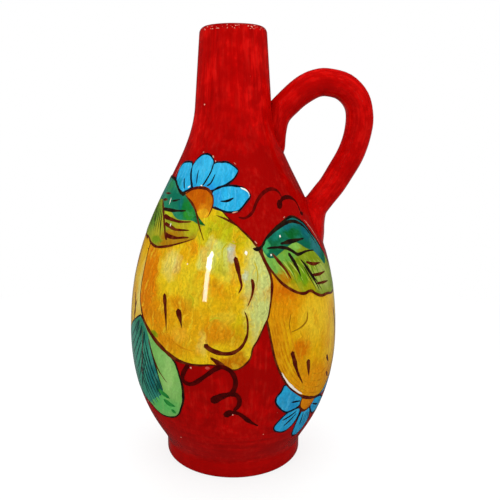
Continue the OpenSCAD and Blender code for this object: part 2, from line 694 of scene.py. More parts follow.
@dataclass(frozen=True)
class Wall:
    """Turned outline of the bottle, which the painting and the handle follow."""

    height: float = 240.0
    belly_r: float = 58.7
    belly_z: float = 73.0
    neck_r: float = 20.7
    neck_z: float = 199.0
    lip_r: float = 18.0
    foot_r: float = 39.3
    foot_h: float = 8.8
    foot_pull: float = 7.3
    foot_lean: float = 80.0
    lower_pull: float = 41.0
    upper_pull: float = 68.0
    neck_pull: float = 34.5
    lip_edge: float = 3.8
    lip_in_edge: float = 2.2
    curve_steps: int = 40
    neck_steps: int = 8
    arc_steps: int = 8

    def outline(self) -> list[Point]:
        """Follows the outside from the foot up to the start of the lip.

        Returns:
            Radius and height of its points.
        """
        shoulder_z = self.height - self.lip_edge
        slope = (self.lip_r - self.neck_r) / (shoulder_z - self.neck_z)
        lean = math.radians(self.foot_lean)
        foot = Vector((self.foot_r, self.foot_h))
        belly = Vector((self.belly_r, self.belly_z))
        neck = Vector((self.neck_r, self.neck_z))
        below = interpolate_bezier(
            foot, foot + self.foot_pull * Vector((math.cos(lean), math.sin(lean))),
            belly - Vector((0.0, self.lower_pull)), belly, self.curve_steps)
        above = interpolate_bezier(
            belly, belly + Vector((0.0, self.upper_pull)),
            neck - self.neck_pull * Vector((slope, 1.0)), neck, self.curve_steps)
        lip = Vector((self.lip_r, shoulder_z))
        straight = [neck.lerp(lip, i / self.neck_steps) for i in range(1, self.neck_steps + 1)]
        return [(p.x, p.y) for p in below + above[1:] + straight]

    def lip_arc(self, bore_r: float) -> list[Point]:
        """Gives the round edge of the lip from outside to inside.

        Args:
            bore_r: Radius of the clay inside the mouth.

        Returns:
            Radius and height of its points.
        """
        out = Vector((self.lip_r - self.lip_edge, self.height - self.lip_edge))
        inner = Vector((bore_r + self.lip_in_edge, self.height - self.lip_in_edge))
        return [*round_edge(out.x, out.y, self.lip_edge, 0.0, self.arc_steps),
                *round_edge(inner.x, inner.y, self.lip_in_edge, RIGHT_ANGLE, self.arc_steps)]


class Sheet:
    """Flat drawing sheet that wraps round the wall."""

    probe = 0.5

    def __init__(self, wall: Wall) -> None:
        """Keeps the wall's outline for look-up by height.

        Args:
            wall: The wall.
        """
        self.wall = wall
        line = wall.outline()
        self.radii = [p[0] for p in line]
        self.heights = [p[1] for p in line]

    def radius(self, z: float) -> float:
        """Gives the wall's radius at a height.

        Args:
            z: Height above the table.

        Returns:
            Radius in millimetres.
        """
        i = min(max(bisect_right(self.heights, z), 1), len(self.heights) - 1)
        low, high = self.heights[i - 1], self.heights[i]
        share = (z - low) / (high - low)
        return self.radii[i - 1] + share * (self.radii[i] - self.radii[i - 1])

    def place(self, s: float, z: float, lift: float) -> Vector:
        """Wraps one point of the sheet on the wall.

        Args:
            s: Place round the belly from the front, to the right.
            z: Height above the table.
            lift: Distance from the wall.

        Returns:
            The point in metres.
        """
        slope = (self.radius(z + self.probe) - self.radius(z - self.probe)) / (2 * self.probe)
        out = lift / math.hypot(1.0, slope)
        r = self.radius(z) + out
        turn = s / self.wall.belly_r
        return MM * Vector((r * math.sin(turn), -r * math.cos(turn), z - slope * out))


@dataclass(frozen=True)
class Patch:
    """An area of one wash, inside a smooth closed outline on the sheet."""

    outline: tuple[Point, ...]
    lift: float
    paint: int = 0


@dataclass(frozen=True)
class Stroke:
    """One brush stroke along a smooth path on the sheet, with the share of its width at its ends.

    It thins out towards its end over the last share of its length that taper gives.
    """

    path: tuple[Point, ...]
    width: float
    lift: float
    paint: int = 1
    start: float = 0.4
    end: float = 0.25
    taper: float = 0.45
    closed: bool = False


@dataclass(frozen=True)
class Place:
    """Where a motif is painted: how far round the belly and how far up from where it was drawn."""

    name: str
    round: float = 0.0
    rise: float = 0.0


@dataclass(frozen=True)
class Motif:
    """A painted figure, with the places round the belly where it is repeated."""

    name: str
    paints: tuple[str, ...]
    patches: tuple[Patch, ...]
    strokes: tuple[Stroke, ...]
    places: tuple[Place, ...]


class Painter:
    """Lays patches and strokes of a motif on the wall."""

    grid = 2.0
    grid_reach = 1e-5
    steps = 6
    stroke_step = 1.1
    least_steps = 6
    stroke_rows = 2
    unit_half = 0.5
    uneven = 0.3
    pressing = 0.3
    least_width = 0.02

    def __init__(self, sheet: Sheet, materials: dict[str, bpy.types.Material]) -> None:
        """Keeps the sheet and the paints that motifs name."""
        self.sheet = sheet
        self.materials = materials

    def wrap(self, bm: bmesh.types.BMesh, verts: Sequence[bmesh.types.BMVert], place: Place,
             lift: float) -> None:
        """Moves flat points of the sheet on to the wall and notes where they were drawn.

        Args:
            bm: Mesh that has the points.
            verts: Points that still lie flat, in millimetres.
            place: Where the motif is painted.
            lift: Distance from the wall.
        """
        drawn = bm.verts.layers.float_vector["sheet"]
        for v in verts:
            v[drawn] = v.co
            v.co = self.sheet.place(v.co.x + place.round, v.co.y + place.rise, lift)

    def lay_patch(self, bm: bmesh.types.BMesh, patch: Patch, place: Place) -> None:
        """Fills an outline and cuts it fine enough to follow the wall.

        Args:
            bm: Mesh that takes the patch.
            patch: Area and paint.
            place: Where the motif is painted.
        """
        line = smooth_line(patch.outline, True, self.steps)
        verts = [bm.verts.new(p) for p in line]
        edges = [bm.edges.new(pair) for pair in zip(verts, verts[1:] + verts[:1])]
        made = bmesh.ops.triangle_fill(bm, use_beauty=True, edges=edges, normal=(0, 0, 1))["geom"]
        geom = list({*verts, *edges, *made})
        for axis in (0, 1):
            values = [p[axis] for p in line]
            normal = Vector((1.0 - axis, float(axis), 0.0))
            for i in range(math.ceil(min(values) / self.grid), math.ceil(max(values) / self.grid)):
                geom = bmesh.ops.bisect_plane(bm, geom=geom, dist=self.grid_reach, plane_no=normal,
                                              plane_co=normal * i * self.grid)["geom"]
        for face in [g for g in geom if isinstance(g, bmesh.types.BMFace)]:
            face.material_index = patch.paint
            face.normal_update()
            if face.normal.z < 0:
                face.normal_flip()
        self.wrap(bm, [g for g in geom if isinstance(g, bmesh.types.BMVert)], place, patch.lift)

    def lay_stroke(self, bm: bmesh.types.BMesh, stroke: Stroke, place: Place) -> None:
        """Bends a grid along a path, as wide as the brush was pressed.

        Args:
            bm: Mesh that takes the stroke.
            stroke: Path, width and paint.
            place: Where the motif is painted.
        """
        path = smooth_line(stroke.path, stroke.closed, self.steps)
        if stroke.closed:
            path.append(path[0])
        marks = [0.0]
        for a, b in zip(path, path[1:]):
            marks.append(marks[-1] + (b - a).length)
        length = marks[-1]
        count = max(self.least_steps, round(length / self.stroke_step))
        grid = bmesh.ops.create_grid(bm, x_segments=count, y_segments=self.stroke_rows, size=self.unit_half)
        seed = Vector((stroke.path[0][0], stroke.path[0][1], length))
        for v in grid["verts"]:
            along = (v.co.x + self.unit_half) * length
            i = min(max(bisect_right(marks, along), 1), len(marks) - 1)
            ahead = (path[i] - path[i - 1]).normalized()
            at = path[i - 1] + ahead * (along - marks[i - 1])
            side = Vector((-ahead.y, ahead.x, 0.0))
            v.co = at + side * (v.co.y * self.pressed(stroke, along, length, seed))
        for face in {f for v in grid["verts"] for f in v.link_faces}:
            face.material_index = stroke.paint
        self.wrap(bm, grid["verts"], place, stroke.lift)

    def pressed(self, stroke: Stroke, along: float, length: float, seed: Vector) -> float:
        """Gives a stroke's width at a place, from how hard the brush was pressed there.

        Args:
            stroke: The stroke.
            along: Distance from its start.
            length: Its whole length.
            seed: Place in the noise that makes this stroke uneven.

        Returns:
            Width in millimetres.
        """
        uneven = 1.0 + self.uneven * noise.noise(seed + Vector((along / UNEVEN_SIZE, 0.0, 0.0)))
        if stroke.closed:
            return stroke.width * uneven
        share = along / length
        rise = min(1.0, share / self.pressing)
        fall = min(1.0, (1.0 - share) / stroke.taper)
        press = (stroke.start + (1 - stroke.start) * rise) * (stroke.end + (1 - stroke.end) * fall)
        near = min(along, length - along) / (stroke.width / 2)
        cap = math.sqrt(max(0.0, 1.0 - (1.0 - min(near, 1.0)) ** 2))
        return stroke.width * uneven * press * max(cap, self.least_width)

    def paint(self, motif: Motif) -> list[bpy.types.Object]:
        """Paints a motif at each of its places.

        Args:
            motif: Figure to paint.

        Returns:
            One piece for each place.
        """
        pieces = []
        for place in motif.places:
            bm = bmesh.new()
            bm.verts.layers.float_vector.new("sheet")
            for patch in motif.patches:
                self.lay_patch(bm, patch, place)
            for stroke in motif.strokes:
                self.lay_stroke(bm, stroke, place)
            paints = [self.materials[name] for name in motif.paints]
            pieces.append(finish_piece(bm, f"{motif.name}_{place.name}", paints))
        return pieces


@dataclass(frozen=True)
class Bottle:
    """Thrown bottle, turned from one outline of its outside, lip and inside."""

    wall: Wall
    clay: float = 5.5
    floor_t: float = 6.0
    bore_r: float = 11.5
    bore_z: float = 196.0
    inner_pull: float = 30.0
    turns: int = 192

    def inside(self) -> list[Point]:
        """Follows the clay's inside from the mouth down to the middle of the floor.

        Returns:
            Radius and height of its points.
        """
        w = self.wall
        floor_z = w.foot_h + self.floor_t
        corner = Vector((w.foot_r - self.clay, floor_z))
        belly = Vector((w.belly_r - self.clay, w.belly_z))
        bore = Vector((self.bore_r, self.bore_z))
        below = interpolate_bezier(corner, Vector((w.foot_r, floor_z + w.foot_pull)),
                                   belly - Vector((0.0, w.lower_pull)), belly, w.curve_steps)
        above = interpolate_bezier(belly, belly + Vector((0.0, w.upper_pull)),
                                   bore - Vector((0.0, self.inner_pull)), bore, w.curve_steps)
        return [(p.x, p.y) for p in reversed(below + above[1:])] + [(0.0, floor_z)]

    def build(self, material: bpy.types.Material) -> bpy.types.Object:
        """Turns the bottle and dresses it.

        Args:
            material: Glaze of the bottle.

        Returns:
            The piece.
        """
        w = self.wall
        line = [(0.0, w.foot_h), *w.outline()[:-1], *w.lip_arc(self.bore_r), *self.inside()]
        bm = turned(line, self.turns)
        return finish_piece(bm, "bottle_body", [material], ["bottle"])


def turned(line: Sequence[Point], turns: int) -> bmesh.types.BMesh:
    """Turns an outline round the Z axis into a closed mesh.

    Args:
        line: Radius and height of its points, in millimetres.
        turns: Steps of a full turn.

    Returns:
        The mesh in metres.
    """
    bm = bmesh.new()
    verts = [bm.verts.new((r * MM, 0.0, z * MM)) for r, z in line]
    edges = [bm.edges.new(pair) for pair in zip(verts, verts[1:])]
    bmesh.ops.spin(bm, geom=[*verts, *edges], cent=(0, 0, 0), axis=(0, 0, 1), angle=2 * math.pi,
                   steps=turns, use_merge=True)
    bmesh.ops.remove_doubles(bm, verts=bm.verts, dist=WELD_REACH)
    bmesh.ops.recalc_face_normals(bm, faces=bm.faces)
    return bm


@dataclass(frozen=True)
class FootRing:
    """Coil of clay that was luted under the bottle and turned to a foot."""

    radius: float = 39.3
    height: float = 8.8
    width: float = 8.0
    edge: float = 1.6
    turns: int = 192
    arc_steps: int = 5

    def build(self, material: bpy.types.Material) -> bpy.types.Object:
        """Turns the foot ring and dresses it.

        Args:
            material: Glaze of the foot ring.

        Returns:
            The piece.
        """
        line = [
            *round_edge(self.radius - self.edge, self.edge, self.edge, -RIGHT_ANGLE, self.arc_steps),
            (self.radius, self.height), (self.radius - self.width - self.edge, self.height),
            *round_edge(self.radius - self.width, self.edge, self.edge, 2 * RIGHT_ANGLE, self.arc_steps)]
        bm = turned([*line, line[0]], self.turns)
        return finish_piece(bm, "foot_band", [material], ["foot_ring"])


@dataclass(frozen=True)
class Section:
    """Section of the handle: its outer and inner place in the XZ plane and its half width."""

    outer: Point
    inner: Point
    half: float


@dataclass(frozen=True)
class Handle:
    """Pulled handle with both its ends thumbed out on the bottle, as one smooth bar."""

    sides: int = 40
    steps: int = 4
    sections: tuple[Section, ...] = (
        Section((17.0, 198.0), (26.5, 171.0), 6.0),
        Section((19.5, 200.0), (28.3, 176.0), 7.0),
        Section((20.6, 202.0), (28.8, 183.2), 7.6),
        Section((22.0, 203.5), (29.9, 189.6), 8.0),
        Section((24.5, 206.0), (31.9, 192.8), 8.0),
        Section((27.2, 208.6), (35.2, 196.0), 8.0),
        Section((30.8, 211.8), (38.7, 199.2), 8.0),
        Section((35.6, 215.2), (43.2, 202.2), 8.0),
        Section((42.0, 218.0), (47.0, 204.0), 8.0),
        Section((50.5, 219.0), (50.5, 204.2), 8.0),
        Section((63.3, 215.6), (55.9, 202.8), 8.0),
        Section((72.7, 206.2), (59.9, 198.8), 8.0),
        Section((76.1, 193.4), (61.3, 193.4), 8.0),
        Section((74.8, 181.5), (60.4, 184.5), 8.0),
        Section((71.1, 170.1), (57.6, 176.1), 8.0),
        Section((65.6, 160.2), (53.2, 168.0), 8.0),
        Section((61.5, 153.5), (48.8, 160.3), 8.0),
        Section((59.1, 150.2), (46.2, 156.9), 8.0),
        Section((56.5, 146.9), (43.7, 153.6), 8.3),
        Section((53.5, 143.0), (41.1, 150.2), 9.0),
        Section((51.8, 140.2), (39.5, 149.0), 10.5),
        Section((51.1, 135.0), (38.5, 148.5), 13.0),
        Section((51.0, 129.0), (38.0, 148.0), 15.0),
        Section((50.2, 122.0), (37.5, 147.5), 16.0),
        Section((48.5, 120.0), (35.0, 146.0), 16.5),
    )

    def build(self, material: bpy.types.Material) -> bpy.types.Object:
        """Draws the bar out ring by ring and dresses it.

        Args:
            material: Glaze of the handle.

        Returns:
            The piece.
        """
        outer = smooth_line([(*s.outer, s.half) for s in self.sections], False, self.steps)
        inner = smooth_line([(*s.inner, s.half) for s in self.sections], False, self.steps)
        bm = bmesh.new()
        bar = bm.verts.layers.float_vector.new("bar")
        along, last, frame_was = 0.0, None, None
        ring: list[bmesh.types.BMVert] = []
        for out, inn in zip(outer, inner):
            middle, up, half = (out + inn) / 2, (out - inn) / 2, out.z
            along += (middle - last).length if last is not None else 0.0
            last = middle
            frame_now = self.ring_frame(middle, up, half)
            if frame_was is None:
                made = bmesh.ops.create_circle(bm, cap_ends=True, segments=self.sides, radius=1.0,
                                               matrix=frame_now)
                ring = made["verts"]
            else:
                edges = {e for v in ring for e in v.link_edges if e.verts[0] in ring and e.verts[1] in ring}
                grown = bmesh.ops.extrude_edge_only(bm, edges=list(edges))["geom"]
                ring = [g for g in grown if isinstance(g, bmesh.types.BMVert)]
                bmesh.ops.transform(bm, matrix=frame_now @ frame_was.inverted(), verts=ring)
            back = frame_now.inverted()
            for v in ring:
                flat = back @ v.co
                v[bar] = (along, flat.x * up.length, flat.y * half)
            frame_was = frame_now
        bmesh.ops.contextual_create(bm, geom=ring)
        bmesh.ops.recalc_face_normals(bm, faces=bm.faces)
        replaced = ["handle", "upper_lute", "lower_lute"]
        return finish_piece(bm, "loop_handle", [material], replaced)

    @staticmethod
    def ring_frame(middle: Vector, up: Vector, half: float) -> Matrix:
        """Places a unit circle as one oval section of the bar.

        Args:
            middle: Middle of the section, with X and Z of the frame as its first two numbers.
            up: From the middle to the outer edge, in the same way.
            half: Half width along Y.

        Returns:
            Matrix from the circle to metres.
        """
        ahead = Vector((up.y, 0.0, -up.x)).normalized()
        columns = (Vector((up.x, 0.0, up.y)) * MM, Vector((0.0, half, 0.0)) * MM, ahead * MM)
        matrix = Matrix([[c[i] for c in columns] for i in range(3)]).to_4x4()
        return Matrix.Translation(Vector((middle.x, 0.0, middle.y)) * MM) @ matrix


# Outlines and paths on the sheet
GREAT_LEMON = (
    (-63, 129), (-62.6, 117), (-62.3, 106), (-61, 98.3), (-55.5, 90), (-46, 82.5), (-38, 77.8), (-31, 74.5),
    (-24, 73), (-17, 73), (-11, 73.8), (-5, 73), (0.5, 71.5), (5, 73.5), (8.5, 77.5), (9.7, 82.5),
    (12.5, 87), (16, 94), (18, 97.5), (20, 106), (21, 112), (20.8, 117), (19, 122), (15, 130), (10.5, 135),
    (6, 138.5), (1, 142), (-4, 145), (-9, 148.6), (-15, 149.5), (-26, 149), (-45, 142), (-59, 138),
)
SLIM_LEMON = (
    (18, 119), (18, 108.5), (16.5, 99.5), (17.5, 94), (19, 86), (21, 76.5), (24, 68.5), (29, 60),
    (35.5, 54), (42.5, 49.5), (53, 46), (60.5, 46), (70, 51), (79, 62), (84, 74), (86, 88), (85.5, 102),
    (83, 112), (74, 119), (55, 123), (33, 122),
)
SLIM_MIDDLE = (52, 88)
SLIVER_TOP = ((-58, 119), (-61, 119.5), (-71, 127.5), (-70, 131.5), (-62, 131), (-58, 128))
UPPER_LEAF = (
    (-18.3, 140.7), (-18.3, 140.7), (-21.5, 140), (-23, 137.5), (-24.3, 134.4), (-30, 132.6), (-37, 130.7),
    (-44, 129), (-53.5, 127.6), (-62.5, 128.5), (-69.5, 130.5), (-80, 131), (-91, 136), (-99, 144),
    (-101, 152), (-95, 158.5), (-84, 161.5), (-70, 161.5), (-62, 160.5), (-55, 158), (-48, 155.6),
    (-41, 154.5), (-35, 152), (-30, 149.5), (-26, 146), (-22, 143),
)
UPPER_DARK = (
    UPPER_LEAF[0], UPPER_LEAF[0], (-24, 141.2), (-29, 142.5), (-39.5, 142.3), (-45, 143.5), (-50, 145.4),
    (-60.5, 146.5), (-71, 150), (-82, 149), (-92, 149), *UPPER_LEAF[14:],
)
RIGHT_LEAF = (
    (17, 130.5), (18.5, 132.5), (22.5, 136), (28, 139), (33.5, 141), (40, 143), (45, 143.5), (50.5, 142),
    (56, 139), (60.5, 134), (65, 129.5), (70, 124), (77, 116), (82, 107), (81, 101), (72, 100), (64, 101.5),
    (56.5, 102), (51, 104), (46.5, 106.5), (41.5, 106), (37, 107), (32, 109.5), (27, 113), (23, 117.5),
    (20, 121.5), (17.5, 126.5),
)
RIGHT_DARK = (
    *RIGHT_LEAF[:12], (72, 119), (68, 116.5), (64, 119.5), (61, 122), (57, 125), (52, 126.6), (48, 128.3),
    (45, 130), (41, 131.3), (36, 130.2), (33, 129), (28, 127), (24, 125.3), (20, 126),
)
LOWER_LEAF = (
    (-59, 91), (-59, 91), (-67, 86.5), (-75, 81), (-83, 73), (-86, 63), (-82, 53), (-72, 45), (-57.5, 40.5),
    (-51.5, 38), (-45.5, 37), (-37.5, 38.5), (-32, 42), (-28, 49.5), (-27, 54.5), (-27, 60), (-28.5, 66),
    (-31, 72.5), (-38, 78), (-48, 84), (-55, 88.5),
)
LOWER_DARK = (
    *LOWER_LEAF[:8], (-57.5, 41.5), (-54, 43.5), (-48, 47.5), (-42.5, 51), (-40.5, 55), (-43.5, 64),
    (-46.5, 73), (-49, 80), (-53, 86),
)
UPPER_PETALS = (
    ((-36.5, 158.5), (-41, 156.5), (-48, 155), (-56.5, 157.5), (-62.5, 161), (-65.5, 166), (-62, 169.5),
        (-53, 170.5), (-46, 170), (-43, 165.5), (-39, 161)),
    ((-35.5, 158), (-40, 161), (-44.5, 166.5), (-43, 170.5), (-38, 173.5), (-32, 174.8), (-25.5, 174.3),
        (-20.5, 172), (-20, 169), (-21.5, 166), (-24.5, 162), (-28, 158.7)),
    ((-19.5, 170.4), (-11.5, 171), (-6, 171), (0, 169.4), (4.5, 167.2), (3.5, 165.3), (-0.5, 162.4),
        (-6, 160.2), (-13, 158.3), (-19, 157), (-27, 158), (-24.3, 161.7), (-21.2, 166)),
    ((-17, 156), (-14, 158.2), (-8.5, 159.4), (-1.5, 159.8), (8, 158.8), (12, 156.8), (13.6, 154.7),
        (10, 152), (5, 148.5), (1.5, 147.4), (-5, 147.4), (-11.5, 148.8), (-15.5, 150)),
)
UPPER_DISC = (
    (-42.5, 154), (-36, 157.3), (-29, 158.3), (-21.5, 157.8), (-16.5, 155), (-15, 151.5), (-15.8, 148),
    (-18, 144.5), (-26, 145), (-33, 149),
)
LOWER_PETALS = (
    ((27.5, 60.5), (25.5, 57), (23, 54), (23.5, 50), (29.5, 44), (34.5, 43.5), (40, 45.5), (41, 49.5),
        (32, 57.5)),
    ((41, 43), (33, 43.5), (27.5, 39.5), (24.5, 35), (27, 31.5), (34, 30), (40, 35)),
    ((43.5, 41), (41.5, 32), (43, 24.5), (48.5, 22), (54, 25), (55.5, 31), (50.5, 40.5)),
    ((50.5, 41.5), (57.5, 34), (66, 33.5), (68.5, 39), (62, 43.5), (53, 45)),
    ((52.5, 46), (61, 44.5), (71, 45.5), (75, 51), (68, 54.5), (56, 51)),
)
LOWER_DISC = ((41, 50.5), (40, 46.5), (41.5, 42.5), (46, 40), (51, 41.5), (53.5, 46), (52, 50), (46, 52))
UPPER_TENDRIL = (
    (3.5, 145), (8, 144.5), (13.5, 147), (18, 152), (23.5, 155.5), (30.5, 157.5), (37, 157.2),
    (40.5, 155.3), (41, 153),
)
UPPER_CURL = ((38, 150.8), (41.5, 152.5), (46, 153), (51.8, 152.5), (56, 150.6), (57.4, 147.8), (57, 145))
LOWER_TENDRIL = (
    (-22.8, 72.6), (-25.6, 68.2), (-26.6, 64.4), (-24.7, 62.3), (-20.5, 62.6), (-13.3, 68.2), (-8.5, 72),
    (-4.8, 72.9), (-0.8, 70.4), (1.1, 66), (0.8, 62), (-1, 58.4),
)
LOWER_BLOB = ((-11.6, 53.2), (-8.5, 55.4), (-4.8, 57.4), (-0.5, 58.4))
LOWER_CURL = ((-5, 57.6), (-1.5, 58.5), (1.6, 57.8), (3.2, 55), (2.7, 51.5), (0, 48.5))
LOWER_FOOT = ((-4.7, 44.8), (-2.8, 46.8), (0, 48.4))
LOWER_TAIL = ((-1, 48.2), (3.5, 46.5), (8.5, 42), (14.5, 37.8))

FRONT_AND_REAR = (Place("front"), Place("rear", -149.0))

# Widths of a daisy's lines, and the step from one layer of its paint to the next
PETAL_LINE = 1.0
VEIN_LINE = 1.1
DISC_LINE = 1.5
PAINT_LAYER = 0.02

# How much shorter a stroke in a row is than it could be, and how much that differs
HATCH_SHORT = 0.12
HATCH_DIFFERS = 0.2


def petals(outlines: Sequence[tuple[Point, ...]], veins: Sequence[tuple[Point, ...]], disc: tuple[Point, ...],
           rim: tuple[Point, ...], level: float) -> tuple[tuple[Patch, ...], tuple[Stroke, ...]]:
    """Draws a daisy from its petals, their veins and its disc.

    Args:
        outlines: Outline of each petal.
        veins: Short stroke on each petal.
        disc: Outline of the disc.
        rim: Stretch of that outline that is drawn as a line.
        level: Distance of the petals from the wall.

    Returns:
        Patches and strokes of the daisy.
    """
    lines = level + PAINT_LAYER
    patches = [Patch(outline, level) for outline in outlines]
    patches.append(Patch(disc, level + 2 * PAINT_LAYER, 1))
    strokes = [Stroke(outline, PETAL_LINE, lines, 2, closed=True) for outline in outlines]
    strokes += [Stroke(vein, VEIN_LINE, lines, 2, start=0.7, end=0.5) for vein in veins]
    strokes.append(Stroke(rim, DISC_LINE, level + 3 * PAINT_LAYER, 3))
    return tuple(patches), tuple(strokes)


def hatch(starts: tuple[Point, Point], ends: tuple[Point, Point], count: int, bow: float, width: float,
          lift: float, paint: int = 1) -> tuple[Stroke, ...]:
    """Draws a row of like strokes.

    Args:
        starts: Where the first and the last stroke start.
        ends: Where the first and the last stroke end.
        count: Number of strokes.
        bow: How far a stroke bends to its side.
        width: Width of a stroke.
        lift: Distance from the wall.
        paint: Paint of the strokes.

    Returns:
        The strokes.
    """
    row = []
    for i in range(count):
        share = i / (count - 1)
        a = Vector(starts[0]).lerp(Vector(starts[1]), share)
        b = Vector(ends[0]).lerp(Vector(ends[1]), share)
        uneven = noise.noise(Vector((*a, 0.0)) / UNEVEN_SIZE)
        side = Vector((a.y - b.y, b.x - a.x)).normalized() * bow
        middle = a.lerp(b, 0.5) + side * (1 + uneven)
        end = b.lerp(a, HATCH_SHORT + HATCH_DIFFERS * uneven)
        row.append(Stroke((tuple(a), tuple(middle), tuple(end)), width, lift, paint))
    return tuple(row)


def drags(path: Sequence[Point], middle: Point, shares: Sequence[float], width: float, lift: float,
          paint: int) -> tuple[Stroke, ...]:
    """Draws brush marks that follow an edge further and further in.

    Args:
        path: Stretch of the edge.
        middle: Place that the marks draw in to.
        shares: How far from the middle each mark lies, as a share of the edge's distance.
        width: Width of a mark.
        lift: Distance from the wall.
        paint: Paint of the marks.

    Returns:
        The strokes.
    """
    at = Vector(middle)
    marks = [tuple(tuple(at.lerp(Vector(p), share)) for p in path) for share in shares]
    return tuple(Stroke(mark, width, lift, paint) for mark in marks)


UPPER_VEINS = (
    ((-50, 162.5), (-47.3, 159.7), (-44.1, 157)), ((-35, 167), (-34.5, 164), (-33, 159.8)),
    ((-16.5, 165.4), (-18.5, 162), (-20.3, 160.2), (-23, 159.3)), ((0.6, 154), (-4.4, 152.5), (-9.8, 152.3)),
)
LOWER_VEINS = (
    ((33, 49), (37, 48.5), (40, 48)), ((29, 38.5), (34, 40), (39, 42.4)), ((31, 34), (35, 37), (39, 40.5)),
    ((46.5, 30), (46, 34.5), (45.5, 39)), ((62, 38), (57, 40), (52.5, 42)), ((68, 49), (61, 48), (55, 47)),
)
UPPER_DAISY = petals(UPPER_PETALS, UPPER_VEINS, UPPER_DISC, UPPER_DISC[:8], 0.22)
LOWER_DAISY = petals(LOWER_PETALS, LOWER_VEINS, LOWER_DISC, LOWER_DISC[:6], 0.03)

